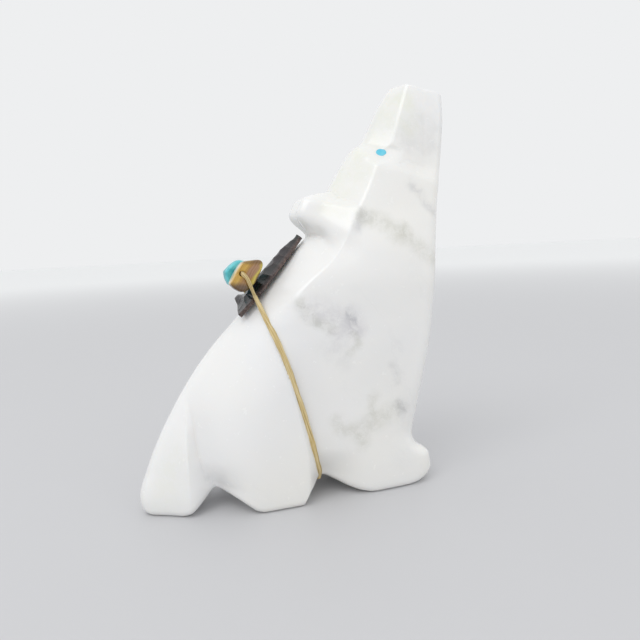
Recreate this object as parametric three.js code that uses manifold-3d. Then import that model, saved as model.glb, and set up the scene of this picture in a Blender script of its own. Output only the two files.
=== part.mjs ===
// A howling coyote carved from white marble, in the manner of a Zuni fetish.
// It stands on tail, haunch and forefoot, with its nose to the sky. A dark stone arrowhead, a
// tiger's-eye chip and a turquoise chip are tied along its back with a round of sinew.
// Millimetres. +X runs from tail to chest, +Z is up, and the carving is alike on both sides of Y = 0.
// It is drawn with X = 0 at the tail, then set down with the origin under the middle of the haunch.

import * as THREE from 'three';
import { LoftGeometry } from 'three/addons/geometries/LoftGeometry.js';
import { mergeVertices } from 'three/addons/utils/BufferGeometryUtils.js';
import Module from 'manifold-3d';

const wasm = await Module();
wasm.setup();

// The stone
const HEIGHT = 76;
const THICKNESS = 20.4;
const BASE_ROUNDING = 1.3;
const NOSE_ROUNDING = 0.35;
const NOSE_SLOPE = 0.22;
const NOSE_ROOF_FALL = 0.7;

// How deep the carving goes; the brow's jogs set the muzzle back from it, at the spine and at the eye
const TAIL_GROOVE_DEPTH = 2.1;
const TAIL_RIDGE_RISE = 0.5;
const BINDING_VALLEY_DEPTH = 1.7;
const NOTCH_THINNING = 1.8;
const BROW_STEP = 1.5;
const BROW_JOG = 1.0;
const EYE_JOG = 2.0;
const EAR_RISE = 5.4;
const NECK_HOLLOW_DEPTH = 0.9;
const ANKLE_HOLLOW_DEPTH = 0.8;
const SIDE_CROWN = 0.5;

// Eyes, let into drilled pockets
const EYE_DIAMETER = 1.9;
const EYE_LENGTH = 1.5;
const EYE_PROUD = 0.15;

// Arrowhead, flat below, with a flaked top and a notch in each side for the binding
const ARROW_LENGTH = 18.8;
const ARROW_WIDTH = 8.8;
const ARROW_TIP_WIDTH = 1.7;
const ARROW_THICKNESS = 1.6;
const ARROW_EDGE = 0.75;
const ARROW_BASE_SLANT = 2.4;
const ARROW_FAR_EAR_RISE = 1.1;
const ARROW_NOTCH_DEPTH = 0.9;
const ARROW_NOTCH_WIDTH = 1.5;
const ARROW_NOTCH_FROM_BASE = 4.4;

// Chips strung on the binding, drilled across
const TIGER_EYE = { length: 7.0, height: 4.1, thickness: 3.0, wornEdge: 0.3 };
const TURQUOISE = { length: 5.5, height: 5.0, thickness: 3.4, wornEdge: 0.4 };
const CHIP_HOLES_FROM_ARROW_BASE = 6.0;
const NEAR_FACE_OF_CHIPS = -4.6;

// Sinew binding and its knot on the far side
const SINEW_DIAMETER = 1.0;
const SINEW_SIDES = 8;
const SINEW_STEPS = 80;
const KNOT_DIAMETER = 2.2;
const KNOT_END_LENGTH = 3.6;
const KNOT_HEIGHT = 25;

// Room left between pieces that touch, and more for the binding between its valley's two walls
const CLEARANCE = 0.3;
const VALLEY_ROOM = 0.3;

const NEAR = -1;
const FAR = 1;

// How finely the stone is cut: stations along each part of half a section
const STATIONS = { spine: 2, tail: 3, rump: 3, edge: 3, haunch: 8, flank: 9, corner: 3, chest: 3 };
const HALF_ROUND = Object.values(STATIONS).reduce((sum, count) => sum + count, 0);
const ROOF_END = STATIONS.spine + STATIONS.tail + STATIONS.rump;
const SIDE_START = ROOF_END + STATIONS.edge;
const SIDE_END = SIDE_START + STATIONS.haunch + STATIONS.flank;
const CHEST_START = SIDE_END + STATIONS.corner;

const clamp01 = (value) => Math.min(1, Math.max(0, value));
const mix = THREE.MathUtils.lerp;

/** Eases from 0 at low to 1 at high. */
function ease(low, high, value) {
  const share = clamp01((value - low) / (high - low));
  return share * share * (3 - 2 * share);
}

/** A bell of height 1 at the middle, with its own width on each side. */
function bell(value, middle, widthBelow, widthAbove) {
  const width = value < middle ? widthBelow : widthAbove;
  const share = (value - middle) / width;
  return Math.exp(-share * share);
}

/** A smooth curve without overshoot through [place, value] pairs, level past both ends. */
function smoothCurve(pairs) {
  const steepness = (i) => (pairs[i + 1][1] - pairs[i][1]) / (pairs[i + 1][0] - pairs[i][0]);
  const last = pairs.length - 1;
  const slopes = pairs.map((_, i) => {
    if (i === 0) return steepness(0);
    if (i === last) return steepness(last - 1);
    const [before, after] = [steepness(i - 1), steepness(i)];
    return before * after <= 0 ? 0 : (2 * before * after) / (before + after);
  });
  return (place) => {
    if (place <= pairs[0][0]) return pairs[0][1];
    if (place >= pairs[last][0]) return pairs[last][1];
    const i = pairs.findIndex(([end]) => end > place) - 1;
    const span = pairs[i + 1][0] - pairs[i][0];
    const s = (place - pairs[i][0]) / span;
    const [s2, s3] = [s * s, s * s * s];
    return (
      (2 * s3 - 3 * s2 + 1) * pairs[i][1] +
      (s3 - 2 * s2 + s) * span * slopes[i] +
      (3 * s2 - 2 * s3) * pairs[i + 1][1] +
      (s3 - s2) * span * slopes[i + 1]
    );
  };
}

// The figure is drawn in hundredths of its height, so its pose and carving keep their proportions
const UNIT = HEIGHT / 100;

/** A rail on the side view, from [height, x] pairs in hundredths. */
function rail(pairs) {
  const curve = smoothCurve(pairs);
  return (z) => curve(z / UNIT) * UNIT;
}

/** A half width that changes with height, from [hundredths of height, share of half thickness]. */
function girth(pairs) {
  const curve = smoothCurve(pairs);
  return (z) => (curve(z / UNIT) * THICKNESS) / 2;
}

/** A plain number that changes with height, from [hundredths of height, value] pairs. */
function trend(pairs) {
  const curve = smoothCurve(pairs);
  return (z) => curve(z / UNIT);
}

// Side view: the spine, the upper edge of the side and the chest
const spineX = rail([
  [0, 0.7], [3.8, 0], [10.3, 2.1], [17.6, 5.4], [25, 9.6], [32.5, 14.7], [38.7, 19.9], [44.1, 25.3],
  [64.6, 44.6], [75.2, 51.2], [81.7, 55.5], [87, 59.5], [94.6, 63.8], [97.6, 65.9], [100, 67.7],
]);
const edgeX = rail([
  [0, 21], [12, 21.5], [24, 24], [36, 30], [44, 34.2], [51, 38.7], [58.3, 47.6], [63, 51.2],
  [70, 55.6], [74.8, 58.5], [80, 60.9], [84.4, 63.1], [92.9, 66], [100, 68.6],
]);
const chestX = rail([
  [0, 70.2], [3.4, 72.6], [7, 72], [10.6, 68], [13, 67.2], [18.8, 68.4], [27.9, 70.6], [37.6, 72.8],
  [50, 74.4], [61.3, 75.7], [71.7, 77.4], [81.8, 79.2], [92.8, 80.2], [100, 80.1],
]);

// Side view: the valley that the binding lies in, and the width of the haunch's facet behind it
const bindingX = rail([
  [0, 43.8], [5.9, 42.3], [11.4, 40.7], [18.9, 39], [25.1, 37.4], [34, 34.9], [40.2, 32.9],
  [45.9, 31], [49.1, 30], [58, 26],
]);
const haunchFacet = rail([[0, 6.3], [8, 3.5], [12.3, 2.4], [19.5, 2], [31, 1.3]]);

// Side view: the ridge along the tail, and the groove between tail and haunch
const tailRidgeX = rail([[0, 11], [16, 11.4], [24, 11.8], [34, 9]]);
const tailGrooveX = rail([
  [0, 17.5], [6, 16.9], [8, 15.8], [10.8, 14.6], [14.4, 13.9], [22.9, 13.2], [27.4, 12.4],
  [34, 9.4],
]);

// Front view: half widths at the side's upper edge, at the chest and across the flat of the spine
const edgeY = girth([
  [0, 0.96], [20, 1], [52, 0.99], [58.3, 0.95], [65, 0.83], [70.5, 0.74], [80, 0.68], [92, 0.63],
  [100, 0.56],
]);
const chestY = girth([
  [0, 0.95], [12, 0.97], [50, 0.96], [60, 0.88], [72, 0.74], [80, 0.68], [92, 0.63], [100, 0.57],
]);
const spineY = girth([[0, 0.2], [20, 0.16], [60, 0.16], [78, 0.12], [100, 0.14]]);

// How far the corners of a section are rounded off, in hundredths of the height
const edgeRounding = rail([
  [0, 7], [40, 8], [47, 4], [50, 1.2], [58, 0.7], [79.6, 0.7], [81, 4.5], [83.6, 4.5], [85, 0.7],
  [100, 0.9],
]);
const chestRounding = rail([[0, 6], [12, 4.4], [60, 3.2], [85, 2.8], [100, 2]]);

// Where the tail's groove and the binding's valley fall: shares of the roof and of the side
const grooveShare = trend([[0, 0.79], [6.4, 0.79], [12, 0.66], [22, 0.44], [30, 0.36], [44, 0.45]]);
const LEAST_VALLEY_SHARE = 0.14;

/** Keeps the valley's share of the side from falling under its least, with a smooth turn. */
function valleyShare(wanted) {
  if (wanted > 2 * LEAST_VALLEY_SHARE) return wanted;
  return LEAST_VALLEY_SHARE + Math.max(0, wanted) ** 2 / (4 * LEAST_VALLEY_SHARE);
}

// Underside: flat under tail, haunch and forefoot, with a notch between each two
const undersideShape = smoothCurve([
  [0, 0], [8.6, 0], [10.4, 0.5], [13.4, 2.7], [15.8, 4.6], [17.2, 5.2], [19.5, 4.4], [21.7, 3.4],
  [24, 1.9], [25.8, 0.6], [27.6, 0], [36.8, 0], [38.6, 2.2], [40.4, 3.7], [42.2, 4.8], [43.4, 4.8],
  [46, 3.6], [49.4, 1.8], [52.8, 0.5], [55.6, 0], [80, 0],
]);
const undersideZ = (x) => undersideShape(x / UNIT) * UNIT;
const UNDERSIDE_REACH = 20 * UNIT;
const HAUNCH_FOOT_MIDDLE = 32.5 * UNIT;

// Rows of facets start level at the spine and fall towards the chest, as ears, brow and nose do
const roofFall = trend([[46, 0], [64.5, 4], [72, 3.4], [82, 3.2], [96, 1.4]]);
const sideFall = trend([[58, 0], [65, 0.8], [73, 3.4], [82.8, 7], [96, 2.6]]);
const NOSE_START = 86 * UNIT;

/** A point on a corner rounded off by a parabola that touches both of its sides. */
function roundedCorner(before, corner, after, reach, share) {
  const start = corner.clone().lerp(before, Math.min(1, reach / corner.distanceTo(before)));
  const end = corner.clone().lerp(after, Math.min(0.48, reach / corner.distanceTo(after)));
  return new THREE.QuadraticBezierCurve(start, corner, end).getPoint(share);
}

/** The uncarved section at height z: x and half width, from mid spine to mid chest. */
function sectionPoint(station, z) {
  const spine = new THREE.Vector2(spineX(z), 0);
  const shoulder = new THREE.Vector2(spineX(z), spineY(z));
  const edge = new THREE.Vector2(edgeX(z), edgeY(z));
  const front = new THREE.Vector2(chestX(z), chestY(z));
  const chest = new THREE.Vector2(chestX(z), 0);
  const onSpine = (share) => roundedCorner(spine, shoulder, edge, spineY(z), share);
  const onEdge = (share) => roundedCorner(shoulder, edge, front, edgeRounding(z), share);
  const onCorner = (share) => roundedCorner(edge, front, chest, chestRounding(z), share);
  if (station <= STATIONS.spine) return onSpine(station / STATIONS.spine);
  if (station <= ROOF_END) {
    const [top, foot] = [onSpine(1), onEdge(0)];
    const groove = top.clone().lerp(foot, grooveShare(z));
    const past = station - STATIONS.spine;
    if (past <= STATIONS.tail) return top.lerp(groove, past / STATIONS.tail);
    return groove.lerp(foot, (past - STATIONS.tail) / STATIONS.rump);
  }
  if (station <= SIDE_START) return onEdge((station - ROOF_END) / STATIONS.edge);
  if (station <= SIDE_END) {
    const [rear, fore] = [onEdge(1), onCorner(0)];
    const valley = rear.clone().lerp(fore, valleyShare((bindingX(z) - rear.x) / (fore.x - rear.x)));
    const past = station - SIDE_START;
    if (past <= STATIONS.haunch) {
      return rear.lerp(valley, 1 - (1 - past / STATIONS.haunch) ** 1.5);
    }
    return valley.lerp(fore, ((past - STATIONS.haunch) / STATIONS.flank) ** 1.35);
  }
  if (station <= CHEST_START) return onCorner((station - SIDE_END) / STATIONS.corner);
  return onCorner(1).lerp(chest, (station - CHEST_START) / STATIONS.chest);
}

const grooveFade = trend([[0, 1], [10, 0.95], [18, 0.7], [25, 0.25], [31, 0]]);
const valleyFade = trend([[0, 1.4], [8, 1.1], [16, 0.9], [26, 0.7], [36, 0.35], [44, 0]]);

/** How deep the side is cut at a place, in millimetres, less than 0 where it stands proud. */
function sideCut(x, z) {
  const [along, high] = [x / UNIT, z / UNIT];
  const [ridgeX, grooveX] = [tailRidgeX(z), tailGrooveX(z)];
  const tailFacet = clamp01((x - ridgeX) / (grooveX - ridgeX));
  const lifted = TAIL_RIDGE_RISE * (1 - ease(16, 26, high)) * bell(x, ridgeX, 2.9 * UNIT, 12 * UNIT);
  const fall = tailFacet * bell(x, grooveX, 12 * UNIT, 4.2 * UNIT);
  const groove = TAIL_GROOVE_DEPTH * grooveFade(z) * fall - lifted * (1 - tailFacet);
  const valleyX = bindingX(z) + 0.4 * UNIT;
  const facet = clamp01(1 - (valleyX - x) / haunchFacet(z));
  const hollow = facet < 1 ? facet : bell(x, valleyX, 12 * UNIT, 6.6 * UNIT);
  const valley = BINDING_VALLEY_DEPTH * valleyFade(z) * hollow;
  const arches = bell(along, 17.2, 4, 4) + bell(along, 43, 3, 6);
  const notches = NOTCH_THINNING * (1 - ease(5, 13, high)) * arches;
  const ankle = ANKLE_HOLLOW_DEPTH * bell(along, 67, 4, 4.5) * bell(high, 14.5, 2.8, 7);
  return groove + valley + notches + ankle;
}

// The ledge of the brow, above which cheek gives way to muzzle: its foot and its top along the head
const browFoot = smoothCurve([
  [57.5, 85], [58, 84.6], [60.9, 80], [62.2, 78.9], [66.7, 78.2], [70.9, 76.6], [75.2, 75.1],
  [80, 73],
]);
const browTop = smoothCurve([
  [58.5, 86.6], [59, 86.1], [63.1, 84.4], [66.2, 83.2], [68.8, 80.8], [71.2, 79.8], [77.7, 79],
  [81, 78],
]);
const BROW_EASE = 0.35;

/** How far up the brow's ledge a place is, from 0 on the cheek to 1 on the muzzle. */
function browShare(x, z) {
  const [foot, top] = [browFoot(x / UNIT), browTop(x / UNIT)];
  const share = clamp01((z / UNIT - foot) / (top - foot));
  return mix(share, ease(0, 1, share), BROW_EASE);
}

const earAcross = smoothCurve([
  [0, 0.5], [0.1, 0.72], [0.24, 1], [0.36, 0.94], [0.52, 0.6], [0.75, 0.3], [0.95, 0.06], [1.05, 0],
]);
const EAR_EASE = 0.25;

/** How far the two laid back ears stand out: flat on top, hollow below, parted along the spine. */
function earLift(across, z) {
  const high = z / UNIT;
  const ridge = 74.4 - 1.9 * ease(0.2, 0.55, across) - 2 * ease(0.5, 1, across);
  const above = 1 - clamp01((high - ridge + 2.3) / 2.3) ** 3;
  const foot = 63.6 - 3.4 * ease(0.35, 0.9, across);
  const rise = clamp01((high - foot) / (ridge - 3.8 - foot));
  const below = Math.sin((Math.PI / 2) * mix(rise, ease(0, 1, rise), EAR_EASE));
  return EAR_RISE * earAcross(across) * above * below;
}

/** How deep the neck is hollowed below the ears. */
function neckHollow(across, along, z) {
  const middle = 64.4 - 3.6 * ease(0.35, 0.9, across);
  return NECK_HOLLOW_DEPTH * bell(z / UNIT, middle, 3, 3.2) * (1 - ease(50, 56, along));
}

/** How far a section draws in where the stone is rounded off near the table and at the nose. */
function roundingInset(level) {
  const drawn = (radius, past) => radius - Math.sqrt(radius * radius - past * past);
  const foot = Math.min(BASE_ROUNDING, Math.max(0, BASE_ROUNDING - level));
  const top = Math.min(NOSE_ROUNDING, Math.max(0, level - HEIGHT + NOSE_ROUNDING));
  return 0.85 * (drawn(BASE_ROUNDING, foot) + drawn(NOSE_ROUNDING, top));
}

/** A point of the carved skin: station goes round from spine to chest, level is the spine's height. */
function skinPoint(station, level, side) {
  const atNose = ease(NOSE_START, HEIGHT, level);
  let z = level;
  let bare = sectionPoint(station, z);
  for (let pass = 0; pass < 8; pass += 1) {
    const roof = station > SIDE_START ? 1 : clamp01(bare.y / edgeY(z));
    const flank = clamp01((bare.x - edgeX(z)) / (chestX(z) - edgeX(z)));
    const fall = (roofFall(level) * roof + sideFall(level) * flank ** 1.5) * UNIT;
    const noseFall = NOSE_SLOPE * (bare.x - spineX(level)) + NOSE_ROOF_FALL * roof;
    z = level - mix(fall, noseFall, atNose);
    z += undersideZ(bare.x) * Math.max(0, 1 - level / UNDERSIDE_REACH);
    bare = sectionPoint(station, z);
  }
  const step = 0.02;
  const ahead = sectionPoint(Math.min(HALF_ROUND, station + step), z);
  const behind = sectionPoint(Math.max(0, station - step), z);
  const out = new THREE.Vector2(behind.y - ahead.y, ahead.x - behind.x).normalize();
  if (station < step) out.set(-1, 0);
  const across = bare.y / edgeY(z);
  const backHalf = 1 - ease(SIDE_START, SIDE_START + 3, station);
  const ear = earLift(across, z) * backHalf;
  const inward = roundingInset(level) + neckHollow(across, bare.x / UNIT, z);
  const crownShare = clamp01((bare.x - edgeX(z)) / (chestX(z) - edgeX(z)));
  const crown = SIDE_CROWN * 4 * crownShare * (1 - crownShare);
  const onFlank = 1 - ease(SIDE_END, CHEST_START, station);
  const brow = browShare(bare.x, z);
  const jog = brow * mix(BROW_JOG, EYE_JOG, clamp01(across)) * (1 - crownShare);
  const throat = 1 - 0.75 * ease(73, 79, bare.x / UNIT);
  const flankCut = (sideCut(bare.x, z) - crown) * onFlank * ease(0, 0.45, across);
  const cut = flankCut + BROW_STEP * brow * throat * across;
  const x = bare.x - out.x * inward - 0.97 * ear + jog;
  const y = bare.y - out.y * inward + 0.2 * ear * ease(0, 0.2, across) - cut;
  return new THREE.Vector3(x, side * y, z);
}

/** The outward direction of the carved skin at a station and level. */
function skinNormal(station, level, side) {
  const step = 0.05;
  const round = skinPoint(station + step, level, side).sub(skinPoint(station - step, level, side));
  const up = skinPoint(station, level + step, side).sub(skinPoint(station, level - step, side));
  const normal = round.cross(up).normalize();
  return normal.multiplyScalar(Math.sign(normal.y * side));
}

/** The station at which a row of the skin reaches x. */
function stationAt(x, level, side) {
  let [low, high] = [0, SIDE_END];
  for (let halving = 0; halving < 20; halving += 1) {
    const middle = (low + high) / 2;
    if (skinPoint(middle, level, side).x < x) low = middle;
    else high = middle;
  }
  return low;
}

/** The station and level of the skin that show at x and z in the side view. */
function findOnSkin(x, z, side) {
  let level = z;
  for (let pass = 0; pass < 12; pass += 1) {
    level += z - skinPoint(stationAt(x, level, side), level, side).z;
  }
  return { station: stationAt(x, level, side), level };
}

/** A point held off the skin by some distance, above the place that shows at x and z. */
function offSkin(x, z, side, distance) {
  const { station, level } = findOnSkin(x, z, side);
  const normal = skinNormal(station, level, side);
  return skinPoint(station, level, side).addScaledVector(normal, distance);
}

// Levels of the rows of facets, closer together where the carving is fine
const ROW_BANDS = [
  { top: 0.017, rows: 2 },
  { top: 0.15, rows: 6 },
  { top: 0.6, rows: 14 },
  { top: 0.73, rows: 8 },
  { top: 0.77, rows: 5 },
  { top: 0.825, rows: 3 },
  { top: 0.87, rows: 6 },
  { top: 0.975, rows: 4 },
  { top: 1, rows: 4 },
];
const rowLevels = [0];
for (const { top, rows } of ROW_BANDS) {
  const start = rowLevels.at(-1);
  for (let row = 1; row <= rows; row += 1) rowLevels.push(mix(start, top * HEIGHT, row / rows));
}

/** One ring of points round the figure, from the spine by the near side and back by the far side. */
function skinRing(level) {
  const ring = [];
  for (let station = 0; station <= HALF_ROUND; station += 1) {
    ring.push(skinPoint(station, level, NEAR));
  }
  for (let station = HALF_ROUND - 1; station > 0; station -= 1) {
    ring.push(skinPoint(station, level, FAR));
  }
  return ring;
}

/** The middle line under the feet, on which both halves of the underside meet. */
function undersideLine(foot) {
  return foot.map(({ x, z }) => new THREE.Vector3(x, 0, z));
}

/** Turns a closed geometry into a solid that can be cut and joined. */
function toSolid(geometry) {
  const bare = new THREE.BufferGeometry();
  bare.setAttribute('position', geometry.attributes.position);
  bare.setIndex(geometry.index);
  const merged = mergeVertices(bare, 1e-4);
  const corners = merged.index.array;
  const kept = [];
  for (let i = 0; i < corners.length; i += 3) {
    const [a, b, c] = corners.slice(i, i + 3);
    if (a !== b && b !== c && c !== a) kept.push(a, b, c);
  }
  const vertProperties = new Float32Array(merged.attributes.position.array);
  const triVerts = new Uint32Array(kept);
  return new wasm.Manifold(new wasm.Mesh({ numProp: 3, vertProperties, triVerts }));
}

/** Turns a solid back into a geometry. */
function toGeometry(solid) {
  const { vertProperties, triVerts } = solid.getMesh();
  const geometry = new THREE.BufferGeometry();
  geometry.setAttribute('position', new THREE.BufferAttribute(vertProperties, 3));
  geometry.setIndex(new THREE.BufferAttribute(triVerts, 1));
  geometry.computeVertexNormals();
  return geometry;
}

/** A round plug with its axis along a direction, from some depth below a point to above it. */
function plug(point, direction, radius, below, above) {
  const geometry = new THREE.CylinderGeometry(radius, radius, below + above, 12);
  geometry.translate(0, (above - below) / 2, 0);
  const turn = new THREE.Quaternion().setFromUnitVectors(new THREE.Vector3(0, 1, 0), direction);
  return geometry.applyQuaternion(turn).translate(point.x, point.y, point.z);
}

const EYE_X = 63.28 * UNIT;
const EYE_Z = 83.15 * UNIT;

/** Where the eye sits, on the facet of the brow between cheek and muzzle. */
function eyePlace(side) {
  const { station, level } = findOnSkin(EYE_X, EYE_Z, side);
  return { point: skinPoint(station, level, side), direction: skinNormal(station, level, side) };
}

/** The whole stone, with a pocket drilled for each eye. */
function carvedBody() {
  const rings = rowLevels.map(skinRing);
  const loft = new LoftGeometry([undersideLine(rings[0]), ...rings], { capEnd: true });
  let stone = toSolid(loft);
  for (const side of [NEAR, FAR]) {
    const { point, direction } = eyePlace(side);
    const pocket = plug(point, direction, EYE_DIAMETER / 2 + CLEARANCE, EYE_LENGTH + CLEARANCE, 2);
    stone = stone.subtract(toSolid(pocket));
  }
  return toGeometry(stone);
}

/** An inlaid eye: a short rod with a crowned end, a little proud of the stone. */
function eyeInlay(side) {
  const { point, direction } = eyePlace(side);
  const radius = EYE_DIAMETER / 2;
  const profile = [
    new THREE.Vector2(0, -EYE_LENGTH),
    new THREE.Vector2(radius, -EYE_LENGTH),
    new THREE.Vector2(radius, 0),
    new THREE.Vector2(0.7 * radius, 0.7 * EYE_PROUD),
    new THREE.Vector2(0, EYE_PROUD),
  ];
  const turn = new THREE.Quaternion().setFromUnitVectors(new THREE.Vector3(0, 1, 0), direction);
  const geometry = new THREE.LatheGeometry(profile, 14);
  return toGeometry(toSolid(geometry.applyQuaternion(turn).translate(point.x, point.y, point.z)));
}

// The arrowhead lies on the back: its base and its tip rest above these two places of the spine
const ARROW_BASE_HEIGHT = 45.3 * UNIT;
const ARROW_SLOPE_END = 63 * UNIT;
const arrowFoot = new THREE.Vector3(spineX(ARROW_BASE_HEIGHT), 0, ARROW_BASE_HEIGHT);
const arrowAlong = new THREE.Vector3(spineX(ARROW_SLOPE_END), 0, ARROW_SLOPE_END)
  .sub(arrowFoot)
  .normalize();
const arrowUp = new THREE.Vector3(-arrowAlong.z, 0, arrowAlong.x);

/** A place given along the arrowhead, across it and above the line of the back under it. */
function overBack(along, across, above) {
  return arrowFoot
    .clone()
    .addScaledVector(arrowAlong, along)
    .addScaledVector(arrowUp, above)
    .setY(across);
}

const arrowOutline = smoothCurve([
  [0, 0.91], [0.27, 1], [0.43, 0.86], [0.53, 0.78], [0.77, 0.49], [1, 0],
]);

/** Half the arrowhead's width at a distance from its base. */
function arrowHalfWidth(along) {
  const blade = mix(ARROW_TIP_WIDTH, ARROW_WIDTH, arrowOutline(along / ARROW_LENGTH)) / 2;
  const fromNotch = Math.abs(along - ARROW_NOTCH_FROM_BASE) / (ARROW_NOTCH_WIDTH / 2);
  return blade - ARROW_NOTCH_DEPTH * (1 - ease(0.45, 1.25, fromNotch));
}

/**
 * The arrowhead's ring at a distance from its base: flat below, with a flaked facet on top.
 * Its base is cut on a slant, thinned in the middle and thicker at the far ear.
 */
function arrowRing(along) {
  const half = arrowHalfWidth(along);
  const share = along / ARROW_LENGTH;
  const taper = 1 - 0.35 * ease(0.75, 1, share);
  const thinned = 1 - 0.34 * (1 - ease(0, 0.21, share));
  const flake = 0.12 * Math.sin(share * 45);
  const [edge, top] = [ARROW_EDGE * taper, ARROW_THICKNESS * taper * thinned];
  const farEar = ARROW_FAR_EAR_RISE * (1 - ease(0.03, 0.23, share));
  const slant = ARROW_BASE_SLANT * (1 - ease(0, 0.27, share));
  const corner = (across, above) =>
    overBack(along + (slant * (across + 1)) / 2, across * half, CLEARANCE + above);
  return [
    corner(-1, 0),
    corner(1, 0),
    corner(1, edge + farEar),
    corner(0.35 + flake, top),
    corner(-0.35 + flake, top),
    corner(-1, edge),
  ];
}

/** The whole arrowhead. */
function arrowhead() {
  const notch = ARROW_NOTCH_WIDTH / 2;
  const around = [-1.25, -0.45, 0.45, 1.25].map((k) => ARROW_NOTCH_FROM_BASE + k * notch);
  const blade = [0.42, 0.56, 0.7, 0.85, 0.96, 1].map((share) => share * ARROW_LENGTH);
  const rings = [0, 0.5 * around[0], ...around, ...blade].map(arrowRing);
  return new LoftGeometry(rings, { capStart: true, capEnd: true });
}

// Outlines of the chips about their drilled hole, as shares of length along the arrowhead and
// of height above it: the lowest side lies along the arrowhead
const tigerEyeOutline = [
  [-0.39, 0.11], [-0.41, -0.15], [-0.385, -0.41], [-0.3, -0.6], [-0.17, -0.68], [0.04, -0.7],
  [0.385, -0.56], [0.51, -0.48], [0.57, -0.37], [0.585, -0.23], [0.5, -0.09], [0.3, 0.23],
  [0.23, 0.29], [0.1, 0.3],
];
const turquoiseOutline = [
  [-0.49, 0], [-0.41, 0.22], [-0.25, 0.42], [0.04, 0.41], [0.26, 0.35], [0.36, 0.27], [0.5, 0.01],
  [0.42, -0.3], [0.27, -0.57], [-0.09, -0.57], [-0.38, -0.3],
];
const lowestOf = (outline) => Math.min(...outline.map(([, above]) => above));
const HOLE_RADIUS = SINEW_DIAMETER / 2 + CLEARANCE;
const CHIPS_ABOVE = 2 * CLEARANCE + ARROW_THICKNESS;
const HOLE_ABOVE = CHIPS_ABOVE - lowestOf(tigerEyeOutline) * TIGER_EYE.height;

/** A worn chip drilled across, with its hole on the axis of the binding. */
function chip({ length, height, thickness, wornEdge }, outline, nearFace) {
  const shape = new THREE.Shape(
    outline.map(([along, above]) => new THREE.Vector2(along * length, above * height)),
  );
  const geometry = new THREE.ExtrudeGeometry(shape, {
    depth: thickness - 2 * wornEdge,
    bevelThickness: wornEdge,
    bevelSize: wornEdge,
    bevelOffset: -wornEdge,
    bevelSegments: 1,
  });
  geometry.translate(0, 0, wornEdge - thickness);
  const hole = overBack(CHIP_HOLES_FROM_ARROW_BASE, nearFace, HOLE_ABOVE);
  const across = new THREE.Vector3(0, -1, 0);
  const frame = new THREE.Matrix4().makeBasis(arrowAlong, arrowUp, across).setPosition(hole);
  const drill = plug(hole, across, HOLE_RADIUS, thickness + 1, 1);
  return toGeometry(toSolid(geometry.applyMatrix4(frame)).subtract(toSolid(drill)));
}

/** The binding's run: up the far side, over the back through the chips, down and under the belly. */
function bindingRoute() {
  const reach = SINEW_DIAMETER / 2 + CLEARANCE;
  const sideReach = reach + VALLEY_ROOM;
  const sideHeights = [6.8, 9.2, 12.5, 17, 22.5, 28.5, 34.5, 40, 44.6].map((high) => high * UNIT);
  const hole = overBack(CHIP_HOLES_FROM_ARROW_BASE, 0, HOLE_ABOVE);
  const notchEdge = ARROW_WIDTH / 2 - ARROW_NOTCH_DEPTH + reach;
  const chipsFar = NEAR_FACE_OF_CHIPS + TIGER_EYE.thickness + CLEARANCE + TURQUOISE.thickness;
  const belly = 42.2 * UNIT;
  const bellyZ = undersideZ(belly) - reach;
  const half = (side, face) => [
    new THREE.Vector3(belly, 0.62 * (THICKNESS / 2) * side, bellyZ),
    skinPoint(stationAt(belly, 0, side), 0, side).add(new THREE.Vector3(0, side * reach, -reach)),
    ...sideHeights.map((z) => offSkin(bindingX(z), z, side, sideReach)),
    overBack(ARROW_NOTCH_FROM_BASE, side * (notchEdge + 0.1), CLEARANCE + 0.4 * ARROW_EDGE),
    overBack(
      mix(ARROW_NOTCH_FROM_BASE, CHIP_HOLES_FROM_ARROW_BASE, 0.4),
      side * Math.max(notchEdge, side * face + reach),
      CHIPS_ABOVE,
    ),
    overBack(CHIP_HOLES_FROM_ARROW_BASE - 0.1, face + side * (reach + 0.15), HOLE_ABOVE - 1),
    hole.clone().setY(face + side * 0.35),
    hole.clone().setY(face - side * 0.7),
  ];
  const near = half(NEAR, NEAR_FACE_OF_CHIPS);
  const far = half(FAR, chipsFar);
  const knotReach = KNOT_DIAMETER / 2 + CLEARANCE + VALLEY_ROOM;
  const knot = offSkin(bindingX(KNOT_HEIGHT), KNOT_HEIGHT, FAR, knotReach);
  const above = far.filter(({ z, y }) => z > KNOT_HEIGHT + 2 && y > 0);
  const below = far.filter(({ z }) => z < KNOT_HEIGHT - 2);
  const middle = hole.clone().setY((NEAR_FACE_OF_CHIPS + chipsFar) / 2);
  const route = [...above, middle, ...near.reverse(), new THREE.Vector3(belly, 0, bellyZ), ...below];
  return { knot, route: [knot, ...route, knot] };
}

/** A cord of the sinew's width along a run of points. */
function cord(points, steps, radius) {
  const section = new THREE.Shape();
  for (let i = 0; i < SINEW_SIDES; i += 1) {
    const turn = ((i + 0.5) * 2 * Math.PI) / SINEW_SIDES;
    const [x, y] = [radius * Math.cos(turn), radius * Math.sin(turn)];
    if (i === 0) section.moveTo(x, y);
    else section.lineTo(x, y);
  }
  section.closePath();
  const extrudePath = new THREE.CatmullRomCurve3(points, false, 'centripetal');
  return toSolid(new THREE.ExtrudeGeometry(section, { steps, extrudePath }));
}

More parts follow.
